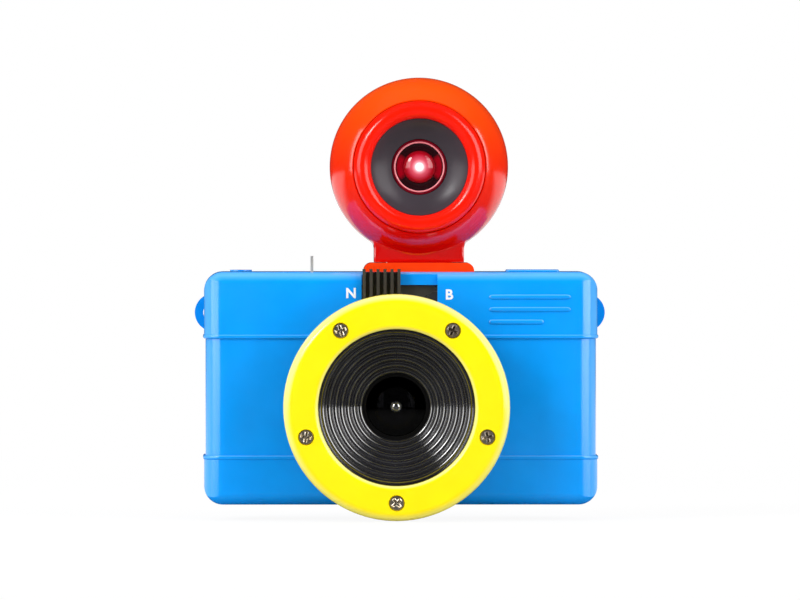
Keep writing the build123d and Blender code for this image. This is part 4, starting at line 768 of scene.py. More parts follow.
@dataclass(frozen=True)
class SightLens:
    """The finder's red lens with painted light and shade: a painted bright view in its middle, red round
    it, a painted dark ring of shade farther out and a painted red reflection at that ring's sides.

    Attributes:
        name: The material's name.
        centre: The lens's axis, right and up, in metres.
        reach: The radius in metres at which the last tone stands.
        painted_light_tones: Shares of the reach with their colours: the painted bright view with a pink
            fringe, the dome's red, the painted dark ring of shade and the red rim.
        side: The painted red reflection in the dark ring at its left and right.
        side_starts: The radii in metres from which to which that red comes in.
        side_ends: The radii in metres from which to which it goes.
        side_shares: How far across a place lies, as a share of its radius, from none of the side red
            to all of it.
        smear_scale: The grain's scale, to the metre; the smears are its slow waves.
        roughness: How matt it is between smears and under them.
        coat: Weight of the clear skin over it.
        coat_roughness: How matt the skin is.
    """

    name: str
    centre: tuple[float, float] = (0.0037, 0.0676)
    reach: float = 0.0056
    painted_light_tones: tuple[tuple[float, Colour], ...] = (
        (0.0, from_screen(252, 243, 245)), (0.145, from_screen(250, 238, 241)),
        (0.18, from_screen(238, 160, 172)), (0.27, from_screen(214, 84, 104)),
        (0.41, from_screen(186, 34, 58)), (0.48, from_screen(164, 4, 26)),
        (0.56, from_screen(142, 3, 20)), (0.6, from_screen(40, 12, 17)),
        (0.85, from_screen(34, 13, 17)), (0.88, from_screen(128, 12, 34)),
        (1.0, from_screen(122, 12, 30)))
    side: Colour = from_screen(150, 3, 24)
    side_starts: tuple[float, float] = (0.0031, 0.0032)
    side_ends: tuple[float, float] = (0.0043, 0.0047)
    side_shares: tuple[float, float] = (0.8, 0.92)
    smear_scale: float = 900.0
    roughness: tuple[float, float] = (0.08, 0.16)
    coat: float = 0.4
    coat_roughness: float = 0.04

    def material(self, shop: EffectShop) -> bpy.types.Material:
        """Build the node material.

        The painted tones follow the distance from the lens's axis; the painted side reflection follows how
        far across a place lies as a share of that distance.

        Args:
            shop: Where the shared effects come from.

        Returns:
            The material.
        """
        blank = Blank.start(self.name)
        sheet, place = blank.sheet, blank.place
        middle = sheet.add("VectorMath", {"operation": "SUBTRACT"}, i0=place,
                           i1=(self.centre[0], 0.0, self.centre[1]))
        flat = sheet.add("VectorMath", {"operation": "MULTIPLY"}, i0=middle.outputs[0], i1=(1.0, 0.0, 1.0))
        away = sheet.add("VectorMath", {"operation": "LENGTH"}, i0=flat.outputs[0]).outputs["Value"]
        # The ramp paints the bright view, its fringe, the red and the dark ring of shade.
        tone = sheet.ramp(sheet.maths("DIVIDE", away, self.reach), self.painted_light_tones)
        across = sheet.add("SeparateXYZ", None, Vector=flat.outputs[0]).outputs[0]
        share = sheet.maths("DIVIDE", sheet.maths("ABSOLUTE", across), away)
        within = sheet.maths("MULTIPLY", sheet.spread(away, *self.side_starts),
                             sheet.spread(away, *self.side_ends, 1.0, 0.0))
        # Painted red reflection at the dark ring's left and right.
        side_reflection_mask = sheet.maths("MULTIPLY", sheet.spread(share, *self.side_shares), within)
        blank.feed("Base Color", sheet.blend(side_reflection_mask, tone, self.side))
        smears = shop.place(sheet, Effect.GRAIN, Place=place, Scale=self.smear_scale).outputs["Tone"]
        blank.feed("Roughness", sheet.spread(smears, 0.0, 1.0, *self.roughness))
        blank.settle(Coat_Weight=self.coat, Coat_Roughness=self.coat_roughness)
        return blank.made


@dataclass(frozen=True)
class SealFoam:
    """Open-celled black foam with fuzzy, matt cells.

    Attributes:
        name: The material's name.
        colour: The foam's colour between its cells' walls, linear.
        wall_share: How many times brighter the walls are; the darker cells between them are painted shade.
        cell_scale: Cells to the metre.
        depth: How deep the cells are, in metres.
        wave: How high the slow waves are against the fine grain.
        roughness: How matt it is in the cells and on their walls.
        fuzz: Weight of the soft sheen.
    """

    name: str
    colour: Colour
    wall_share: float = 2.2
    cell_scale: float = 2600.0
    depth: float = 0.0003
    wave: float = 0.5
    roughness: tuple[float, float] = (0.85, 1.0)
    fuzz: float = 0.4

    def material(self, shop: EffectShop) -> bpy.types.Material:
        """Build the node material.

        Args:
            shop: Where the shared effects come from.

        Returns:
            The material.
        """
        blank = Blank.start(self.name)
        sheet, place = blank.sheet, blank.place
        cells = sheet.add("TexVoronoi", None, Vector=place, Scale=self.cell_scale).outputs["Distance"]
        grain = shop.place(sheet, Effect.GRAIN, Place=place, Scale=self.cell_scale, Wave=self.wave)
        # Painted shade: the sunk cells are darker than their raised walls.
        walls = tuple(value * self.wall_share for value in self.colour)
        blank.feed("Base Color", sheet.blend(cells, self.colour, walls))
        blank.feed("Roughness", sheet.spread(cells, 0.0, 1.0, *self.roughness))
        blank.settle(Sheen_Weight=self.fuzz)
        blank.roughen(sheet.maths("ADD", cells, grain.outputs["Height"]), self.depth, 1.0)
        return blank.made


class Finish(Enum):
    """The finishes of the camera, named as the record's slots, and a few of their variants."""

    # The blue's and the yellow's pale colours on their rounded front edges are painted highlights.
    BLUE = MouldedPlastic(
        "blue_plastic", from_screen(1, 154, 250), from_screen(1, 149, 243), roughness=0.16, shine=0.9,
        scuffs=0.2, dust=0.005, painted_edge_highlight=from_screen(86, 176, 251))
    YELLOW = MouldedPlastic(
        "yellow_plastic", from_screen(252, 230, 1), from_screen(248, 225, 1), roughness=0.2, shine=0.7,
        scuffs=0.2, painted_edge_highlight=from_screen(253, 247, 140), painted_edge_highlight_below=0.6)
    # The red's tones by height are painted top light: deep red low down, orange on top.
    RED = MouldedPlastic(
        "red_plastic", from_screen(208, 4, 2), roughness=0.14, shine=0.62, bending=1.7, scuffs=0.15,
        heights=(0.050, 0.0566, 0.0676, 0.083),
        painted_light_tones=(from_screen(232, 7, 2), from_screen(249, 42, 1), from_screen(252, 80, 1)))
    BEZEL = MouldedPlastic(
        "bezel_plastic", from_screen(248, 24, 2), from_screen(244, 20, 2), roughness=0.16, shine=0.5,
        scuffs=0.15)
    ORANGE = MouldedPlastic(
        "shoe_plastic", from_screen(252, 64, 4), from_screen(247, 56, 3), roughness=0.2)
    BLACK = MouldedPlastic(
        "black_plastic", from_screen(68, 65, 57), from_screen(56, 53, 47), roughness=0.26, shine=0.8,
        dust=0.08)
    CONE = MouldedPlastic(
        "cone_black_plastic", from_screen(42, 42, 45), from_screen(33, 33, 36), roughness=0.12,
        grain_depth=0.0000003, shine=1.0, bending=1.9, scuffs=0.0, dust=0.0)
    DISC = MouldedPlastic(
        "dark_disc", from_screen(63, 57, 64), from_screen(59, 54, 60), roughness=0.3, shine=0.32,
        dust=0.005)
    INSIDE = MouldedPlastic(
        "dark_inside", from_screen(9, 9, 10), from_screen(6, 6, 7), roughness=0.6, shine=0.1,
        scuffs=0.1, dust=0.0)
    MARK = MouldedPlastic(
        "mark_white", from_screen(246, 247, 250), from_screen(238, 240, 245), roughness=0.5,
        grain_scale=3000.0, scuffs=0.2, dust=0.0)
    BEAD = MouldedPlastic(
        "pupil_bead_gloss", from_screen(58, 60, 62), from_screen(46, 48, 50), roughness=0.09,
        grain_depth=0.0000002, coat=1.0, coat_roughness=0.05, shine=1.0, bending=2.4, scuffs=0.0, dust=0.0)
    # The lens edge's pink is a painted highlight on its polished edge.
    LENS_EDGE = MouldedPlastic(
        "lens_edge", from_screen(243, 152, 158), from_screen(232, 130, 140), roughness=0.15,
        grain_depth=0.000002, coat=0.3, coat_roughness=0.05, scuffs=0.0, dust=0.0)
    SCREW = WornMetal("screw_steel", (0.95, 0.87, 0.74), (0.34, 0.28, 0.22))
    SPRING = WornMetal("spring_steel", (0.6, 0.6, 0.62), (0.3, 0.3, 0.32), roughness=0.24)
    PIN = WornMetal("satin_steel", (0.85, 0.85, 0.86), (0.6, 0.6, 0.6), roughness=0.5)
    CLEAR_LENS = MouldedLens("lens_glass", (0.03, 0.03, 0.035), smear=0.0)
    WINDOW = MouldedLens("clear_window", (0.9, 0.93, 0.94), smear=0.06)
    RED_LENS = SightLens("red_lens")
    FOAM = SealFoam("foam", (0.012, 0.012, 0.012))


class Dresser:
    """Gives CAD nodes and new pieces their materials."""

    def __init__(self, nodes: dict[str, bpy.types.Object]) -> None:
        """Keep the frame's nodes and start with no materials.

        Args:
            nodes: The frame's node objects by name.
        """
        self.nodes = nodes
        self.shop = EffectShop()
        self.made: dict[Finish, bpy.types.Material] = {}

    def material(self, finish: Finish) -> bpy.types.Material:
        """Give a finish's material, built the first time it is asked for.

        Args:
            finish: Which finish.

        Returns:
            The material.
        """
        if finish not in self.made:
            self.made[finish] = finish.value.material(self.shop)
        return self.made[finish]

    def dress(self, finish: Finish, *names: str) -> None:
        """Put a finish on CAD nodes.

        Args:
            finish: Which finish.
            names: The nodes' names.
        """
        for name in names:
            for slot in self.nodes[name].material_slots:
                slot.material = self.material(finish)
            LOG.info("dressed %s in %s", name, finish.value.name)

    def add(self, piece: bpy.types.Object, finish: Finish, body: str, slot: str | None = None,
            replaced: tuple[str, ...] = ()) -> bpy.types.Object:
        """Put a finish on a new piece and set it riding on its body.

        Args:
            piece: The new piece.
            finish: Its finish.
            body: The CAD body it rides on.
            slot: The record's material slot that goes with the piece; not used.
            replaced: CAD nodes that it stands for.

        Returns:
            The piece.
        """
        piece.data.materials.append(self.material(finish))
        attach(piece, body)
        if replaced:
            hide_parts(*replaced)
        LOG.info("made %s with %d faces", piece.name, len(piece.data.polygons))
        return piece


# ------------------------------------------------------------------ sub-assemblies


@dataclass
class Casing:
    """The two blue shells with their strap eyes, the slider's marks, three plain ribs and two raised bands.

    Sizes are in millimetres; places are (right, up) on the front face.

    Attributes:
        face_y: The front face.
        marks: The slider's marks, each with its place.
        mark_height: How tall a mark is.
        mark_rise: How far it stands out.
        mark_outset: How far its strokes are fattened, against a letter one unit high.
        mark_thickness: The thickness it is drawn with before it is stood up, in the same unit.
        rib_left: Where the ribs start, to the right.
        rib_tops: Each rib's height above the ground and its length.
        rib_width: How wide a rib is.
        rib_rise: How far it stands out.
        rib_end_power: How squarely its ends are rounded.
        half_width: Half the casing's width.
        plan_radius: The radius of its corners seen from above.
        bands: Each band's height above the ground.
        band_width: How wide a band is.
        band_rise: How far it stands out.
        band_buried: How far its foot lies under the sunk panel.
        band_power: How flat its top is.
        band_end_y: Where it ends, at the split between the shells.
        panel_recess: How deep the panel below the step is sunk.
    """

    face_y: float = -15.0
    marks: tuple[tuple[str, float, float], ...] = (("N", -10.0, 42.4), ("B", 9.7, 42.1))
    mark_height: float = 2.05
    mark_rise: float = 0.05
    mark_outset: float = 0.03
    mark_thickness: float = 0.01
    rib_left: float = 17.6
    rib_tops: tuple[tuple[float, float], ...] = ((41.6, 16.4), (39.1, 16.4), (36.6, 11.0))
    rib_width: float = 1.0
    rib_rise: float = 0.34
    rib_end_power: int = 24
    half_width: float = 39.4
    plan_radius: float = 3.9
    bands: tuple[float, ...] = (33.65, 9.45)
    band_width: float = 0.95
    band_rise: float = 0.2
    band_buried: float = 0.3
    band_power: int = 4
    band_end_y: float = -0.05
    panel_recess: float = 0.3

    def dress(self, dresser: Dresser) -> None:
        """Dress the casing's CAD nodes and add its marks, ribs and bands.

        Args:
            dresser: Where the finishes come from.
        """
        dresser.dress(Finish.BLUE, "front_shell", "rear_shell", "left_strap_eye", "right_strap_eye")
        for letter, x, z in self.marks:
            dresser.add(self.mark(letter, x, z), Finish.MARK, "body")
        for number, (z, length) in enumerate(self.rib_tops):
            dresser.add(self.rib(number, z, length), Finish.BLUE, "body", slot="blue_plastic")
        for number, z in enumerate(self.bands):
            dresser.add(self.band(number, z), Finish.BLUE, "body", slot="blue_plastic")

    def band(self, number: int, z: float) -> bpy.types.Object:
        """Make one flat raised band along a step of the front shell, round its front and sides.

        The path is the shell's plan outline: a side, a quarter turn, the front, a quarter turn, a side.
        The section stands out from it as a rounded flat top: the root of one less a power of the
        share of half the width, the fourth power as it is set.

        Args:
            number: Which band.
            z: Its middle, upwards.

        Returns:
            The band.
        """
        wide, long = self.half_width - self.plan_radius, -self.face_y - self.plan_radius
        turn = np.radians(np.linspace(180, 270, 25))
        facing = np.stack([np.cos(turn), np.sin(turn)], axis=-1)
        corner = self.plan_radius * facing - (wide, long)
        path = np.vstack([[[-self.half_width, self.band_end_y]], corner, corner[::-1] * (-1, 1),
                          [[self.half_width, self.band_end_y]]])
        out = np.vstack([[[-1.0, 0.0]], facing, facing[::-1] * (-1, 1), [[1.0, 0.0]]])
        share = np.linspace(-1, 1, 21)
        foot = self.panel_recess + self.band_buried
        rise = (foot + self.band_rise) * (1 - share ** self.band_power) ** 0.5 - foot
        rows = path[:, None, :] + out[:, None, :] * rise[None, :, None]
        up = np.broadcast_to(z + share * self.band_width / 2, rows.shape[:2])
        points = np.concatenate([rows, up[..., None]], axis=-1)
        return Surface(points, pole_first=True, pole_last=True).build(f"panel_band_{number}", 50)

    def mark(self, letter: str, x: float, z: float) -> bpy.types.Object:
        """Make one printed mark of the slider as a thin raised letter.

        The letter's flat outline gets a small thickness, is made a mesh, then is stood up against the
        front face by swapping its axes: across stays, up becomes height, thickness becomes depth.

        Args:
            letter: The mark.
            x: Its middle, to the right.
            z: Its middle, upwards.

        Returns:
            The mark.
        """
        curve = bpy.data.curves.new(f"mark_{letter}_outline", "FONT")
        curve.body, curve.extrude, curve.offset = letter, self.mark_thickness, self.mark_outset
        drawn = bpy.data.objects.new(f"mark_{letter}_outline", curve)
        bpy.context.scene.collection.objects.link(drawn)
        bpy.context.view_layer.update()
        mesh = bpy.data.meshes.new_from_object(drawn.evaluated_get(bpy.context.evaluated_depsgraph_get()))
        bpy.data.objects.remove(drawn)
        flat = np.zeros(len(mesh.vertices) * 3)
        mesh.vertices.foreach_get("co", flat)
        flat = flat.reshape(-1, 3)
        low, high = flat.min(axis=0), flat.max(axis=0)
        scale = self.mark_height / (high[1] - low[1])
        middle = (low + high) / 2
        depth = self.face_y - self.mark_rise * (flat[:, 2] - low[2]) / (high[2] - low[2])
        stood = np.stack([x + (flat[:, 0] - middle[0]) * scale, depth,
                          z + (flat[:, 1] - middle[1]) * scale], axis=-1)
        mesh.vertices.foreach_set("co", (stood * MM).ravel())
        mesh.update()
        mesh.name = f"switch_mark_{letter}"
        piece = bpy.data.objects.new(f"switch_mark_{letter}", mesh)
        bpy.context.scene.collection.objects.link(piece)
        return piece

    def rib(self, number: int, z: float, length: float) -> bpy.types.Object:
        """Make one plain rib: a half-round bar whose ends die away in the face.

        Its height over the face is the rise times a half circle across and a rounded rectangle along.

        Args:
            number: Which rib.
            z: Its middle, upwards.
            length: Its length.

        Returns:
            The rib.
        """
        along, across = np.meshgrid(np.linspace(-1, 1, 97), np.linspace(-1, 1, 17), indexing="ij")
        ends = np.sqrt(np.clip(1 - np.abs(along) ** self.rib_end_power, 0, 1))
        x = self.rib_left + length * (along + 1) / 2
        height = self.rib_rise * np.sqrt(np.clip(1 - across ** 2, 0, 1)) * ends
        points = np.stack([x, self.face_y - height, z + across * self.rib_width / 2 * ends], axis=-1)
        back = points.copy()
        back[..., 1] = self.face_y + self.rib_rise
        ring = np.concatenate([points, back[:, -2:0:-1]], axis=1)
        return Surface(ring, pole_first=True, pole_last=True).build(f"face_rib_{number}", 60)


@dataclass
class TakingLens:
    """The yellow ring with its screws, the stepped black barrel and the glass in its middle.

    Sizes are in millimetres, and a place that ends in y is a depth, less to the front.

    Attributes:
        x: Where the lens's axis is, to the right.
        z: Where it is, upwards.
        mouth_radius: The hood's mouth.
        throat_radius: The hood's narrow end.
        mouth_y: The hood's front.
        steps: How many steps lead down the hood.
        step_depth: How far each goes back.
        crest: The radius of the round edge of each step.
        crest_turns: Where that round starts and ends, in degrees, just inside a quarter turn.
        ridge_rise: How high the fine ridge on each tread is.
        ridge_place: Where on the tread it is, as a share.
        ridge_width: How wide it is, as a share.
        tread_dip: How far each tread slopes.
        barrel_radius: The barrel's outside.
        back_wall: How thick the throat's wall is.
        back_wall_past: How many steps' depth past the last step the hollow round the throat ends.
        inner_wall: The inside of the barrel's outer wall.
        inner_wall_step: At how many steps' depth that wall starts.
        spigot_radius: The part that goes into the casing.
        seat_y: Where the barrel sits on the casing.
        back_y: The barrel's back.
        screw_circle: The radius of the circle the screws stand on.
        first_screw_deg: Where on it the first one stands.
        screw_turns: How far each screw is turned, in degrees.
        head_radius: A screw's head.
        head_edge: How far the head's face stops short of its side.
        head_edge_drop: How far the side's front lies behind the face.
        head_dish: How far the face falls away towards its edge.
        head_face_y: The head's face.
        head_seat_y: The head's underside.
        shank_radius: The screw's shank.
        shank_end_y: Where the shank ends.
        cross_reach: Half the length of a bar of the cross recess.
        cross_half: Half its width.
        cross_depth: Its depth.
        cross_slope: Between which distances from the bars' edge the recess falls, inwards.
        burr: How high the burr round the recess is.
        burr_place: How far from the bars' edge it is highest.
        burr_width: How wide it is.
        burr_middle: The share of its height that it has in the middle of its ups and downs.
        burr_change: The share by which it goes up and down round the head.
        bead_radius: The small bright lens.
        bead_rise: How far it stands out of the glass.
        bead_sunk: How far it goes into it.
        glass_crown_y: The front of the glass.
    """

    x: float = -1.0
    z: float = 19.7
    mouth_radius: float = 15.6
    throat_radius: float = 6.75
    mouth_y: float = -24.5
    steps: int = 7
    step_depth: float = 1.0
    crest: float = 0.55
    crest_turns: tuple[float, float] = (267.0, 182.0)
    ridge_rise: float = 0.08
    ridge_place: float = 0.42
    ridge_width: float = 0.16
    tread_dip: float = 0.12
    barrel_radius: float = 20.6
    back_wall: float = 1.55
    back_wall_past: int = 2
    inner_wall: float = 16.2
    inner_wall_step: int = 3
    spigot_radius: float = 17.40
    seat_y: float = -15.0
    back_y: float = -13.6
    screw_circle: float = 19.0
    first_screw_deg: float = -90.0
    screw_turns: tuple[float, ...] = (40.0, 12.0, 65.0, 20.0, 80.0)
    head_radius: float = 1.45
    head_edge: float = 0.06
    head_edge_drop: float = 0.1
    head_dish: float = 0.03
    head_face_y: float = -27.0
    head_seat_y: float = -26.1
    shank_radius: float = 0.9
    shank_end_y: float = -22.4
    cross_reach: float = 0.98
    cross_half: float = 0.24
    cross_depth: float = 0.55
    cross_slope: tuple[float, float] = (-0.02, 0.2)
    burr: float = 0.12
    burr_place: float = 0.05
    burr_width: float = 0.07
    burr_middle: float = 0.65
    burr_change: float = 0.35
    bead_radius: float = 1.1
    bead_rise: float = 0.8
    bead_sunk: float = 0.25
    glass_crown_y: float = -17.0

    def dress(self, dresser: Dresser) -> None:
        """Dress the lens's CAD nodes and add the barrel, the ring's screws and the small bright lens.

        Args:
            dresser: Where the finishes come from.
        """
        dresser.dress(Finish.YELLOW, "lens_ring")
        dresser.dress(Finish.INSIDE, "lens_cell", "aperture_plate")
        dresser.dress(Finish.CLEAR_LENS, "front_lens", "pupil_lens", "rear_lens")
        dresser.dress(Finish.SCREW, "barrel_screws")
        dresser.add(self.barrel(), Finish.CONE, "body", slot="black_plastic", replaced=("lens_barrel",))
        dresser.add(self.screws(), Finish.SCREW, "body", slot="screw_steel", replaced=("ring_screws",))
        dresser.add(self.bead(), Finish.BEAD, "body", slot="lens_glass")

    def screws(self) -> bpy.types.Object:
        """Make the ring's screws: polar grids with a worn cross recess, each on its own turn.

        The recess is as deep as a smooth step of the distance into two crossed bars, and a raised burr
        follows its edge as a bell curve of that distance, stronger and weaker round the head.

        Returns:
            The screws as one piece.
        """
        share, turn = np.meshgrid(np.linspace(0.015, 1.0, 46),
                                  np.linspace(0, 2 * np.pi, 144, endpoint=False), indexing="ij")
        away = share * (self.head_radius - self.head_edge)
        edge = self.past_cross(away * np.cos(turn), away * np.sin(turn))
        sunk = self.cross_depth * smooth_step(-edge, *self.cross_slope)
        burr = self.burr * np.exp(-((edge - self.burr_place) / self.burr_width) ** 2)
        dish = self.head_dish * (away / self.head_radius) ** 4
        below = np.array([[self.head_radius, self.head_face_y + self.head_edge_drop],
                          [self.head_radius, self.head_seat_y], [self.shank_radius, self.head_seat_y],
                          [self.shank_radius, self.shank_end_y]])
        made = []
        for number, spin in enumerate(self.screw_turns):
            stand = math.radians(self.first_screw_deg + 360 * number / len(self.screw_turns))
            middle = (self.x + self.screw_circle * math.cos(stand),
                      self.z + self.screw_circle * math.sin(stand))
            raised = burr * (self.burr_middle + self.burr_change * np.sin(5 * turn + 2 * number))
            depth = self.head_face_y + sunk - raised + dish
            tilt = turn + math.radians(spin)
            face = np.stack([middle[0] + away * np.cos(tilt), depth,
                             middle[1] + away * np.sin(tilt)], axis=-1)
            wall = carried_round(below, *middle, columns=144, start_deg=spin).points
            made.append(Surface(np.concatenate([face, wall]), pole_first=True, pole_last=True))
        return together("ring_screw_set", made)

    def past_cross(self, u: np.ndarray, v: np.ndarray) -> np.ndarray:
        """Give the distance to two crossed bars: more than 0 outside them, less than 0 inside.

        Outside a bar it is the length of what lies past its length and its width, inside it the
        greater of the two.

        Args:
            u: Places along the first bar.
            v: Places along the second.

        Returns:
            The distances.
        """
        bars = []
        for along, over in ((u, v), (v, u)):
            past = np.stack([np.abs(along) - self.cross_reach, np.abs(over) - self.cross_half])
            bars.append(np.hypot(*np.maximum(past, 0)) + np.minimum(past.max(axis=0), 0))
        return np.minimum(*bars)

    def bead(self) -> bpy.types.Object:
        """Make the small bright lens in the middle of the front glass: a half ellipse, carried round.

        Returns:
            The bead.
        """
        turn = np.radians(np.linspace(3, 90, 24))
        dome = np.stack([self.bead_radius * np.sin(turn),
                         self.glass_crown_y - self.bead_rise * np.cos(turn)], axis=-1)
        seat = np.array([[self.bead_radius, self.glass_crown_y + self.bead_sunk]])
        return carried_round(np.vstack([dome, seat]), self.x, self.z, 96, pole_first=True,
                             pole_last=True).build("pupil_bead")

    def barrel(self) -> bpy.types.Object:
        """Make the barrel: a stair profile with round crests, then its throat, back and outer wall.

        Each step is a short wall that runs back, a tread that slopes inwards with one fine ridge on it,
        shaped as a bell curve, and a quarter-round crest where the tread turns into the next wall.

        Returns:
            The barrel.
        """
        fall = (self.mouth_radius - self.throat_radius) / self.steps
        rows = [np.array([[self.barrel_radius, self.mouth_y], [self.mouth_radius, self.mouth_y]])]
        for number in range(self.steps):
            outer = self.mouth_radius - fall * number
            inner = outer - fall
            back = self.mouth_y + self.step_depth * (number + 1)
            span = np.linspace(0, 1, 25)
            radius = outer + (inner + self.crest - outer) * span
            ridge = self.ridge_rise * np.exp(-((span - self.ridge_place) / self.ridge_width) ** 2)
            slope = self.tread_dip * (1 - span)
            rows.append(np.stack([radius, back - ridge + slope], axis=-1))
            rows.append(arc((inner + self.crest, back + self.crest), self.crest, *self.crest_turns, 13))
        throat_wall, hollow_steps = self.throat_radius + self.back_wall, self.steps + self.back_wall_past
        rows.append(np.array([[self.throat_radius, self.back_y], [throat_wall, self.back_y],
                              [throat_wall, self.mouth_y + hollow_steps * self.step_depth],
                              [self.inner_wall, self.mouth_y + self.inner_wall_step * self.step_depth],
                              [self.inner_wall, self.back_y], [self.spigot_radius, self.back_y],
                              [self.spigot_radius, self.seat_y], [self.barrel_radius, self.seat_y]]))
        hood = carried_round(np.vstack(rows), self.x, self.z, columns=256, closed_rows=True)
        return hood.build("barrel_hood", 42)


@dataclass
class Finder:
    """The round red finder: its blended bulb and neck, the bezel, the dark disc and the red front lens.

    Sizes are in millimetres, and a place that ends in y is a depth, less to the front.

    Attributes:
        x: Where the finder's axis is, to the right.
        z: Where it is, upwards.
        split_y: The seam between its shells, where the bulb is widest.
        front_y: The bulb's front.
        back_y: Its back.
        radius: Its widest circle.
        mouth_radius: Its opening at the front.
        tail_radius: Its opening at the back.
        bulge: How far towards an opening its outline is steered, as a share of the way.
        fullness: How much fuller than an ellipse it is there.
        seam_depth: How deep the seam's groove is.
        seam_width: How wide it is.
        neck_half: Half the neck's width.
        neck_drop: How far below the axis it ends.
        neck_front: The neck's front.
        neck_back: Its back.
        neck_inside: How far inside its front and its back the neck has faded in fully.
        neck_outside: How far outside them it begins to.
        neck_away: How far inside the bulb the neck's rectangle is kept where it has faded out.
        neck_blend: How broadly neck and bulb run together.
        lip_set: How far outside the mouth the middle of its round lip is.
        lip_back: How far behind the bulb's front it is.
        lip_radius: The lip's radius.
        lip_turns: Where its arc starts and ends, in degrees.
        mouth_wall: How far inside the mouth its straight wall is.
        mouth_well: How deep the mouth goes behind the bezel, past the groove.
        tail_wall: How far inside the tail's edge its face starts.
        tail_bore: The radius of the hole in the tail.
        tail_well: How deep that hole is.
        dark_margin: How far past the hole and the bezel faces still count as inside.
        bezel_outer: The bezel's outside.
        bezel_inner: Its inside.
        bezel_rise: How far it stands out.
        bezel_foot: How far its sleeve reaches in.
        bezel_sleeve: How far inside the bezel's outside the sleeve is.
        bezel_gap: The gap between the bezel and the mouth's wall; its foot is drawn in by two of them.
        groove_depth: How deep the groove round the bezel is.
        lens_y: The front lens's flange.
        lens_radius: The lens's outside.
        lens_chamfer: How far its edge is cut back.
        lens_thickness: The flange's thickness.
        lens_core: The radius at which its back is closed.
        dome_radius: The dome.
        dome_rise: How far it stands out.
        well_gap: The gap between the dome and the black ring round it.
        well_width: The ring's width.
        well_rise: How far its edges stand out of the flange.
        well_dip: How much less its middle does.
        well_sunk: How far it reaches into the flange.
        edge_circle: The radius of the circle that the bead with the polished edge's painted highlight
        follows.
        edge_out: How far in front of the flange the middle of the bead is.
        edge_radius: The bead's own radius.
    """

    x: float = 3.7
    z: float = 67.6
    split_y: float = -4.0
    front_y: float = -15.0
    back_y: float = 10.0
    radius: float = 17.7
    mouth_radius: float = 13.5
    tail_radius: float = 8.6
    bulge: float = 0.62
    fullness: float = 1.02
    seam_depth: float = 0.13
    seam_width: float = 0.09
    neck_half: float = 9.0
    neck_drop: float = 19.1
    neck_front: float = -10.0
    neck_back: float = 2.0
    neck_inside: float = 0.5
    neck_outside: float = 0.35
    neck_away: float = 6.0
    neck_blend: float = 1.3
    lip_set: float = 0.02
    lip_back: float = 0.32
    lip_radius: float = 0.3
    lip_turns: tuple[float, float] = (185.0, 262.0)
    mouth_wall: float = 0.28
    mouth_well: float = 2.4
    tail_wall: float = 0.15
    tail_bore: float = 6.05
    tail_well: float = 2.8
    dark_margin: float = 0.05
    bezel_outer: float = 13.2
    bezel_inner: float = 9.7
    bezel_rise: float = 2.0
    bezel_foot: float = 1.6
    bezel_sleeve: float = 1.65
    bezel_gap: float = 0.02
    groove_depth: float = 0.6
    lens_y: float = -12.1
    lens_radius: float = 5.6
    lens_chamfer: float = 0.15
    lens_thickness: float = 1.2
    lens_core: float = 0.5
    dome_radius: float = 3.3
    dome_rise: float = 1.5
    well_gap: float = 0.05
    well_width: float = 1.35
    well_rise: float = 0.14
    well_dip: float = 0.08
    well_sunk: float = 0.02
    edge_circle: float = 4.92
    edge_out: float = 0.1
    edge_radius: float = 0.17

    def dress(self, dresser: Dresser) -> None:
        """Dress the finder's CAD nodes and add its smooth pieces.

        Args:
            dresser: Where the finishes come from.
        """
        dresser.dress(Finish.ORANGE, "accessory_shoe")
        dresser.dress(Finish.RED, "finder_foot")
        dresser.dress(Finish.DISC, "finder_cone")
        dresser.dress(Finish.BLACK, "finder_eyepiece")
        dresser.dress(Finish.WINDOW, "finder_eye_lens")
        dresser.dress(Finish.SCREW, "finder_screws")
        bulb = dresser.add(self.bulb(), Finish.RED, "finder", slot="red_plastic",
                           replaced=("finder_front_shell", "finder_rear_shell"))
        self.darken_inside(bulb, dresser)
        dresser.add(self.bezel(), Finish.BEZEL, "finder", slot="red_plastic", replaced=("finder_bezel",))
        dresser.add(self.front_lens(), Finish.RED_LENS, "finder", slot="red_lens",
                    replaced=("finder_front_lens",))
        dresser.add(self.lens_well(), Finish.RED_LENS, "finder", slot="red_lens")
        dresser.add(self.lens_edge(), Finish.LENS_EDGE, "finder", slot="red_lens")

    def through(self, first: tuple, middle: tuple, last: tuple, count: int) -> np.ndarray:
        """Points on the circle through three profile points, from the first to the last.

        The centre is where the points are equally far away, found from two linear equations.

        Args:
            first: The first point, (radius, depth).
            middle: A point between.
            last: The last point.
            count: How many points.

        Returns:
            The points, shaped count, 2.
        """
        a, b, c = (np.array(point, float) for point in (first, middle, last))
        sides = 2 * np.array([b - a, c - a])
        centre = np.linalg.solve(sides, np.array([b @ b - a @ a, c @ c - a @ a]))
        start, turn_b, end = (math.degrees(math.atan2(*(point - centre)[::-1])) for point in (a, b, c))
        middle_turn = (turn_b - start + 180) % 360 - 180
        end_turn = (end - start + 180) % 360 - 180
        if middle_turn * end_turn < 0:
            end_turn += 360 if middle_turn > 0 else -360
        return arc(tuple(centre), float(np.linalg.norm(a - centre)), start, start + end_turn, count)

    def outline(self) -> np.ndarray:
        """The bulb's outline from its mouth, over its widest circle, to its tail.

        Returns:
            The points, shaped count, 2.
        """
        swell = math.sqrt(1 - self.bulge ** 2)
        fore = (self.mouth_radius + (self.radius - self.mouth_radius) * swell * self.fullness,
                self.split_y + (self.front_y - self.split_y) * self.bulge)
        aft = (self.tail_radius + (self.radius - self.tail_radius) * swell * self.fullness,
               self.split_y + (self.back_y - self.split_y) * self.bulge)
        front = self.through((self.mouth_radius, self.front_y), fore, (self.radius, self.split_y), 400)
        rear = self.through((self.radius, self.split_y), aft, (self.tail_radius, self.back_y), 400)
        return np.vstack([front, rear[1:]])

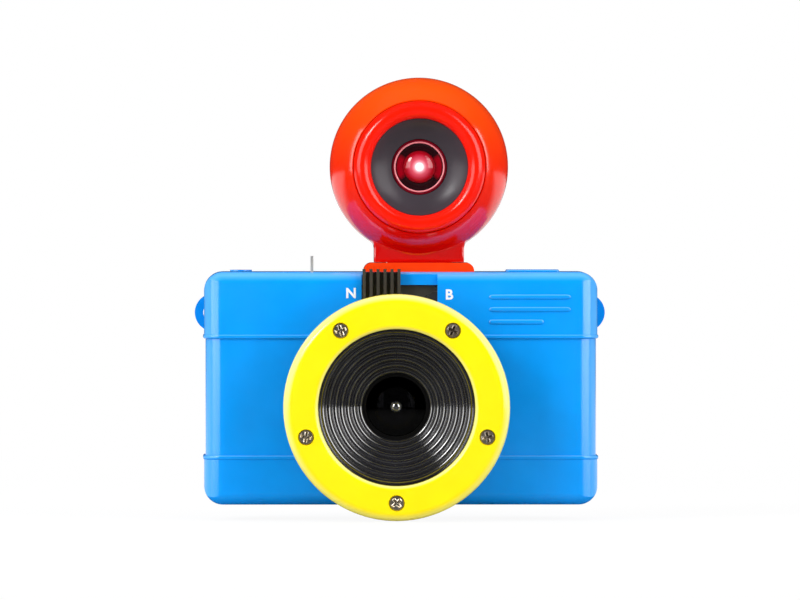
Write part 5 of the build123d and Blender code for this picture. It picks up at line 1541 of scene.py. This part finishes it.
    def bulb(self) -> bpy.types.Object:
        """Make the bulb and neck as one skin of distances from the finder's axis.

        At each depth and turn the skin lies at the smooth greatest of the bulb's circle and the neck's
        rectangle.  The neck fades in and out over a short depth, and the seam is a narrow groove, a bell
        curve of the depth.  The rows of points stand closer where the neck starts and ends and at the seam.

        Returns:
            The bulb.
        """
        outline = self.outline()
        front, seam, back = self.neck_front, self.split_y, self.neck_back
        dense = np.concatenate([
            np.linspace(self.front_y, front - 0.9, 26), np.linspace(front - 0.8, front + 0.8, 22),
            np.linspace(front + 1.0, seam - 0.3, 20), np.linspace(seam - 0.2, seam + 0.2, 11),
            np.linspace(seam + 0.5, back - 0.9, 18), np.linspace(back - 0.7, back + 0.7, 20),
            np.linspace(back + 0.9, self.back_y, 30)])
        circle = np.interp(dense, outline[:, 1], outline[:, 0])
        turn = np.linspace(0, 2 * np.pi, 400, endpoint=False)
        across, up = np.cos(turn), np.sin(turn)
        side = self.neck_half / np.maximum(np.abs(across), 1e-6)
        foot = self.neck_drop / np.maximum(-up, 1e-6)
        neck = np.where(up < 0, np.minimum(side, foot), 0.0)
        fade = smooth_step(dense, self.neck_front - self.neck_outside, self.neck_front + self.neck_inside)
        fade = fade * (1 - smooth_step(dense, self.neck_back - self.neck_inside,
                                       self.neck_back + self.neck_outside))
        faded = circle[:, None] - self.neck_away
        reach = faded + (neck[None, :] - faded) * fade[:, None]
        gap = circle[:, None] - reach
        share = np.clip(0.5 + 0.5 * gap / self.neck_blend, 0, 1)
        skin = reach + gap * share + self.neck_blend * share * (1 - share)
        skin = np.minimum(skin, np.where(up < 0, foot, np.inf)[None, :])
        skin = skin - self.seam_depth * np.exp(-((dense - self.split_y) / self.seam_width) ** 2)[:, None]
        x = self.x + skin * across
        z = self.z + skin * up
        body = np.stack([x, np.broadcast_to(dense[:, None], x.shape), z], axis=-1)
        rows = [self.round_rows(self.mouth_profile()), body, self.round_rows(self.tail_profile())]
        skin_surface = Surface(np.concatenate(rows), pole_first=True, pole_last=True)
        return skin_surface.build("finder_bulb", 42)

    def round_rows(self, profile: np.ndarray) -> np.ndarray:
        """Carry a profile round the axis in as many steps as the bulb has."""
        return carried_round(profile, self.x, self.z, 400).points

    def mouth_profile(self) -> np.ndarray:
        """The mouth's profile, from its well outwards over its round lip.

        Returns:
            The points, shaped count, 2.
        """
        groove_y = self.front_y + self.groove_depth
        wall = self.bezel_outer + self.bezel_gap
        lip = arc((self.mouth_radius + self.lip_set, self.front_y + self.lip_back), self.lip_radius,
                  *self.lip_turns, 9)
        return np.vstack([[[wall, groove_y + self.mouth_well], [wall, groove_y],
                           [self.mouth_radius - self.mouth_wall, groove_y]], lip])

    def tail_profile(self) -> np.ndarray:
        """The tail's profile, from its edge inwards to the bottom of its hole.

        Returns:
            The points, shaped count, 2.
        """
        return np.array([[self.tail_radius - self.tail_wall, self.back_y], [self.tail_bore, self.back_y],
                         [self.tail_bore, self.back_y - self.tail_well]])

    def darken_inside(self, bulb: bpy.types.Object, dresser: Dresser) -> None:
        """Give the faces that close the bulb behind its lenses a dark finish, painted shade of its hollow
        inside.

        Args:
            bulb: The bulb.
            dresser: Where the finish comes from.
        """
        bulb.data.materials.append(dresser.material(Finish.INSIDE))
        middles = np.zeros(len(bulb.data.polygons) * 3)
        bulb.data.polygons.foreach_get("center", middles)
        middles = middles.reshape(-1, 3) / MM
        away = np.hypot(middles[:, 0] - self.x, middles[:, 2] - self.z)
        within = np.where(middles[:, 1] > 0, self.tail_bore, self.bezel_outer) + self.dark_margin
        bulb.data.polygons.foreach_set("material_index", (away < within).astype(np.int32))
        bulb.data.update()

    def bezel(self) -> bpy.types.Object:
        """Make the bezel: a half ellipse on a short sleeve, carried round.

        Returns:
            The bezel.
        """
        middle = (self.bezel_outer + self.bezel_inner) / 2
        half = (self.bezel_outer - self.bezel_inner) / 2
        turn = np.linspace(0, np.pi, 40)
        crown = np.stack([middle + half * np.cos(turn),
                          self.front_y - self.bezel_rise * np.sin(turn)], axis=-1)
        foot_y, groove_y = self.front_y + self.bezel_foot, self.front_y + self.groove_depth
        sleeve = self.bezel_outer - self.bezel_sleeve
        foot = np.array([[self.bezel_inner, foot_y], [sleeve, foot_y], [sleeve, groove_y],
                         [self.bezel_outer - 2 * self.bezel_gap, groove_y]])
        ring = carried_round(np.vstack([crown, foot]), self.x, self.z, closed_rows=True)
        return ring.build("finder_bezel_ring", 50)

    def front_lens(self) -> bpy.types.Object:
        """Make the red front lens: a dome on a flat flange, carried round and closed at its poles.

        The dome's rise falls off as the square root of one less the squared share of its radius.

        Returns:
            The lens.
        """
        share = np.sin(np.linspace(0.02, np.pi / 2, 28))
        dome = np.stack([share * self.dome_radius,
                         self.lens_y - self.dome_rise * np.sqrt(np.clip(1 - share ** 2, 0, 1))], axis=-1)
        back = self.lens_y + self.lens_thickness
        flange = np.array([[self.lens_radius - self.lens_chamfer, self.lens_y],
                           [self.lens_radius, self.lens_y + self.lens_chamfer], [self.lens_radius, back],
                           [self.lens_core, back]])
        lens = carried_round(np.vstack([dome, flange]), self.x, self.z, 128, pole_first=True, pole_last=True)
        return lens.build("finder_red_lens")

    def lens_well(self) -> bpy.types.Object:
        """Make the ring between the dome and the lens's polished edge, a shallow hollow, on which the lens's
        finish paints the dark ring of shade.

        The hollow is half a sine wave across the ring.

        Returns:
            The ring.
        """
        inner = self.dome_radius + self.well_gap
        share = np.linspace(0, 1, 14)
        hollow = np.stack([inner + share * self.well_width,
                           self.lens_y - self.well_rise + self.well_dip * np.sin(share * np.pi)], axis=-1)
        under_y = self.lens_y + self.well_sunk
        under = np.array([[inner + self.well_width, under_y], [inner, under_y]])
        well = carried_round(np.vstack([hollow, under]), self.x, self.z, 128, closed_rows=True)
        return well.build("finder_lens_well")

    def lens_edge(self) -> bpy.types.Object:
        """Make the painted highlight of the lens's polished edge: a thin round bead carried round.

        Returns:
            The bead.
        """
        bead = arc((self.edge_circle, self.lens_y - self.edge_out), self.edge_radius, 0, 342, 20)
        return carried_round(bead, self.x, self.z, 128, closed_rows=True).build("finder_lens_edge")


@dataclass
class Workings:
    """The controls, film door, film chamber and shutter: CAD nodes, and the latch's coil spring.

    Attributes:
        coil_start: Where the spring's moving end is, along x, in millimetres.
        coil_end: Where its held end is.
        coil_y: Its axis, along y.
        coil_z: Its axis, along z.
        coil_radius: From its axis to the middle of the wire.
        wire_radius: Half the wire's thickness.
        turns: How many turns it has.
        kept: The share of its length that is left when the latch is pushed home; not used.
    """

    coil_start: float = -26.35
    coil_end: float = -22.75
    coil_y: float = 9.93
    coil_z: float = 22.0
    coil_radius: float = 0.77
    wire_radius: float = 0.21
    turns: float = 4.0
    kept: float = 0.42

    def latch_coil(self) -> bpy.types.Object:
        """Wind the spring: a wire carried along a helix.

        At share u of the length the helix has turned by a = 2 pi n u, and its point is at the start plus
        u times the length along x, and at r cos a, r sin a round the axis.  The wire's circle is laid on
        the outward direction and on the one square to it and to the helix.

        Returns:
            The spring.
        """
        length = self.coil_end - self.coil_start - 2 * self.wire_radius
        share = np.linspace(0, 1, 97)[:, None]
        angle = 2 * np.pi * self.turns * share
        out = np.hstack([0 * angle, np.cos(angle), np.sin(angle)])
        middle = np.hstack([self.coil_start + self.wire_radius + length * share, 0 * angle + self.coil_y,
                            0 * angle + self.coil_z]) + self.coil_radius * out
        along = np.gradient(middle, axis=0)
        along /= np.linalg.norm(along, axis=1, keepdims=True)
        aside = np.cross(along, out)
        round_wire = np.linspace(0, 2 * np.pi, 12, endpoint=False)[None, :, None]
        points = middle[:, None] + self.wire_radius * (np.cos(round_wire) * out[:, None]
                                                       + np.sin(round_wire) * aside[:, None])
        return Surface(points, pole_first=True, pole_last=True).build("latch_coil", 60)

    def dress(self, dresser: Dresser) -> None:
        """Dress the remaining CAD nodes and add the latch's spring, riding on the film door.

        Args:
            dresser: Where the finishes come from.
        """
        dresser.dress(Finish.BLUE, "film_door", "door_latch", "release_button", "wheel_axle")
        dresser.dress(Finish.BLACK, "mode_slider", "slider_guide", "advance_wheel", "drive_pinion",
                      "ratchet_pawl", "film_chamber", "release_lever", "shutter_plate")
        dresser.dress(Finish.WINDOW, "door_window")
        dresser.dress(Finish.FOAM, "door_seal")
        dresser.dress(Finish.SCREW, "body_screws", "plate_screws", "blade_post", "striker_post", "lever_post",
                      "pawl_post", "door_hinge_pin", "feeler_pin")
        dresser.dress(Finish.PIN, "striker_lever")
        dresser.dress(Finish.SPRING, "cartridge_spring", "button_spring", "blade_spring", "striker_spring",
                      "shutter_blade", "film_feeler")
        coil = dresser.add(self.latch_coil(), Finish.SPRING, "film_door", "spring_steel", ("latch_spring",))
        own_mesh(coil)


# ------------------------------------------------------------------ studio


@dataclass(frozen=True)
class SoftLight:
    """One rectangular soft light.

    Attributes:
        name: The light's name.
        place: Where it stands, in metres.
        aim: What it points at, in metres.
        width: Its width in metres.
        height: Its height in metres.
        watts: Its power.
        in_gloss: Whether glossy surfaces show it.
    """

    name: str
    place: tuple[float, float, float]
    aim: tuple[float, float, float]
    width: float
    height: float
    watts: float
    in_gloss: bool = True

    def hang(self) -> bpy.types.Object:
        """Put the light in the scene.

        Returns:
            The light.
        """
        lamp = bpy.data.lights.new(self.name, "AREA")
        lamp.shape, lamp.size, lamp.size_y = "RECTANGLE", self.width, self.height
        lamp.energy = self.watts
        hung = bpy.data.objects.new(self.name, lamp)
        hung.location = self.place
        hung.visible_glossy = self.in_gloss
        hung.rotation_euler = (Vector(self.aim) - Vector(self.place)).to_track_quat("-Z", "Y").to_euler()
        bpy.context.scene.collection.objects.link(hung)
        return hung


@dataclass
class Studio:
    """The camera, the soft lights, the pale floor and the white air round it.

    The photograph covers 160 mm across 800 pixels and was taken from far away, nearly level, and
    very slightly from the left.  Lengths are in metres.  In gloss the floor and the air are dark in
    front of the object and nearly dark above the floor and far out, so that the reflections stay plain.

    Attributes:
        aim: What the camera looks at.
        distance: How far away it is.
        left_deg: How far to the left it stands.
        above_deg: How far above.
        across: The width it shows at that distance.
        sensor: Its sensor's width, in millimetres.
        sees: The nearest and the farthest it sees.
        air_light: How strongly the air lights matt surfaces.
        air_fore: A direction's part to the rear, from dark gloss in front to full.
        air_upper: A direction's part upwards, from full gloss to nearly none.
        ahead_gloss: How bright floor and air are in gloss in front of the object.
        round_gloss: How bright they are beside and behind it.
        above_share: The share of that above the floor and far out.
        floor_height: Where the floor is.
        floor_half: Half its width.
        floor_colour: What it looks like in plain light.
        floor_bounce: What it looks like to light that has bounced off matt surfaces.
        floor_roughness: How matt it is.
        floor_shine: Its specular level.
        floor_fore: How far to the rear, from dark gloss to full.
        floor_glow: How far from the object, from full gloss to nearly none.
        shadow_reach: Between which distances from the object the shadow on the floor dies away.
        shadow_white: The share of pure white in the floor where the shadow is deepest.
        lights: The soft lights.
    """

    aim: tuple[float, float, float] = (-0.0002, -0.015, 0.041)
    distance: float = 2.5
    left_deg: float = 0.75
    above_deg: float = 0.8
    across: float = 0.160
    sensor: float = 36.0
    sees: tuple[float, float] = (0.1, 20.0)
    air_light: float = 0.3
    air_fore: tuple[float, float] = (-0.45, -0.1)
    air_upper: tuple[float, float] = (-0.07, -0.03)
    ahead_gloss: float = 0.0
    round_gloss: float = 1.0
    above_share: float = 0.03
    floor_height: float = -0.0031
    floor_half: float = 4.0
    floor_colour: Colour = (0.92, 0.92, 0.92)
    floor_bounce: Colour = (0.6, 0.6, 0.6)
    floor_roughness: float = 0.9
    floor_shine: float = 0.1
    floor_fore: tuple[float, float] = (0.02, 0.09)
    floor_glow: tuple[float, float] = (1.0, 1.15)
    shadow_reach: tuple[float, float] = (0.15, 0.45)
    shadow_white: float = 0.93
    lights: tuple[SoftLight, ...] = (
        SoftLight("top_soft", (0.0, -0.1, 0.8), (0.0, 0.0, 0.04), 1.2, 0.9, 3.2, in_gloss=False),
        SoftLight("left_box", (-0.72, -0.5, 0.33), (0.0, 0.0, 0.33), 0.75, 0.66, 4.6),
        SoftLight("right_box", (0.72, -0.5, 0.33), (0.0, 0.0, 0.33), 0.75, 0.66, 5.6),
        SoftLight("left_key", (-0.66, -0.62, 0.6), (0.0, 0.0, 0.04), 0.3, 0.3, 3.6),
        SoftLight("right_key", (0.62, -0.62, 0.72), (0.0, 0.0, 0.04), 0.4, 0.4, 0.8),
        SoftLight("back_soft", (-0.25, 1.1, 0.6), (0.0, 0.0, 0.04), 1.0, 0.8, 5.5, in_gloss=False),
    )

    def build(self) -> None:
        """Build the whole studio."""
        self.set_view()
        self.set_world()
        self.place_camera()
        for light in self.lights:
            light.hang()
            LOG.info("hung %s", light.name)
        floor = self.floor()
        LOG.info("laid %s", floor.name)

    def set_view(self) -> None:
        """Choose the plain view transform."""
        bpy.context.scene.view_settings.view_transform = "Standard"

    def place_camera(self) -> None:
        """Stand the camera where the photograph was taken from and frame what it shows."""
        lens = bpy.data.cameras.new("photo_camera")
        lens.sensor_width = self.sensor
        lens.lens = self.sensor * self.distance / self.across
        lens.clip_start, lens.clip_end = self.sees
        stood = bpy.data.objects.new("photo_camera", lens)
        turn, rise = math.radians(-self.left_deg), math.radians(self.above_deg)
        back = Vector((math.sin(turn) * math.cos(rise), -math.cos(turn) * math.cos(rise), math.sin(rise)))
        stood.location = Vector(self.aim) + back * self.distance
        stood.rotation_euler = (-back).to_track_quat("-Z", "Y").to_euler()
        bpy.context.scene.collection.objects.link(stood)
        bpy.context.scene.camera = stood

    def set_world(self) -> None:
        """Light the world softly, show it white to the camera and in glass, and partly dark in gloss."""
        world = bpy.data.worlds.new("studio_world")
        bpy.context.scene.world = world
        world.use_nodes = True
        sheet = Sheet(world.node_tree)
        air = world.node_tree.nodes["Background"]
        air.inputs["Color"].default_value = (1.0, 1.0, 1.0, 1.0)
        glossy, seen = self.rays(sheet)
        looking = sheet.add("SeparateXYZ", None, Vector=sheet.add("TexCoord").outputs["Generated"])
        behind = sheet.spread(looking.outputs[1], *self.air_fore, self.ahead_gloss, self.round_gloss)
        above = sheet.spread(looking.outputs[2], *self.air_upper, 1.0, self.above_share)
        gloss = sheet.maths("MULTIPLY", behind, above)
        mixed = sheet.add("Mix", {"data_type": "FLOAT"}, i0=glossy, i2=self.air_light, i3=gloss)
        sheet.put(sheet.maths("MAXIMUM", mixed.outputs[0], seen), air.inputs["Strength"])

    @staticmethod
    def rays(sheet: Sheet) -> tuple[bpy.types.NodeSocket, bpy.types.NodeSocket]:
        """Tell what kind of ray is asking.

        Args:
            sheet: The sheet of the world or of a material.

        Returns:
            The socket that is 1 for glossy rays, and the one that is 1 for the camera's and for glass.
        """
        kinds = sheet.add("LightPath").outputs
        seen = sheet.maths("MAXIMUM", kinds["Is Camera Ray"], kinds["Is Transmission Ray"])
        return kinds["Is Glossy Ray"], seen

    def floor(self) -> bpy.types.Object:
        """Make the flat floor: x and y from minus to plus half its width, at one height.

        Returns:
            The floor.
        """
        side = np.linspace(-self.floor_half, self.floor_half, 9)
        points = np.stack([*np.meshgrid(side, side), np.full((9, 9), self.floor_height)], axis=-1) / MM
        laid = Surface(points, closed_columns=False).build("pale_floor")
        laid.data.materials.append(self.floor_finish())
        return laid

    def floor_finish(self) -> bpy.types.Material:
        """Mix a matt floor with plain white light, which hides all but the shadow near the object.

        Returns:
            The material.
        """
        blank = Blank.start("pale_floor")
        sheet = blank.sheet
        blank.settle(Roughness=self.floor_roughness, Specular_IOR_Level=self.floor_shine)
        matt = sheet.add("LightPath").outputs["Is Diffuse Ray"]
        blank.feed("Base Color", sheet.blend(matt, self.floor_colour, self.floor_bounce))
        glossy, seen = self.rays(sheet)
        rearward = sheet.add("SeparateXYZ", None, Vector=blank.place).outputs[1]
        behind = sheet.spread(rearward, *self.floor_fore, self.ahead_gloss, self.round_gloss)
        away = sheet.add("VectorMath", {"operation": "LENGTH"}, i0=blank.place).outputs["Value"]
        near = sheet.spread(away, *self.floor_glow, 1.0, self.above_share)
        strength = sheet.maths("MAXIMUM", seen, sheet.maths("MULTIPLY", behind, near))
        white = sheet.add("Emission", None, Color=(1.0, 1.0, 1.0), Strength=strength)
        whiter = sheet.spread(away, *self.shadow_reach, self.shadow_white)
        share = sheet.maths("MULTIPLY", sheet.maths("MAXIMUM", seen, glossy), whiter)
        mixed = sheet.add("MixShader", None, i0=share, i1=blank.skin.outputs[0], i2=white.outputs[0])
        sheet.put(mixed.outputs[0], blank.made.node_tree.nodes["Material Output"].inputs["Surface"])
        return blank.made


# ------------------------------------------------------------------ the order of the work


def clear_start_scene(kept: set[str]) -> None:
    """Remove what an empty start-up scene may hold.

    Args:
        kept: Names of the frame's own objects.
    """
    for thing in list(bpy.data.objects):
        if thing.name not in kept and thing.get("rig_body") is None and not thing.name.startswith("body:"):
            bpy.data.objects.remove(thing)


def main() -> None:
    """Build the studio and dress every sub-assembly in order."""
    logging.basicConfig(level=logging.INFO, format="%(name)s: %(message)s")
    clear_start_scene(set(frame["nodes"]))
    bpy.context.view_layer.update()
    dresser = Dresser(frame["nodes"])
    Studio().build()
    for unit in (Casing(), TakingLens(), Finder(), Workings()):
        unit.dress(dresser)
        LOG.info("finished %s", type(unit).__name__)


if __name__ == "__main__":
    main()
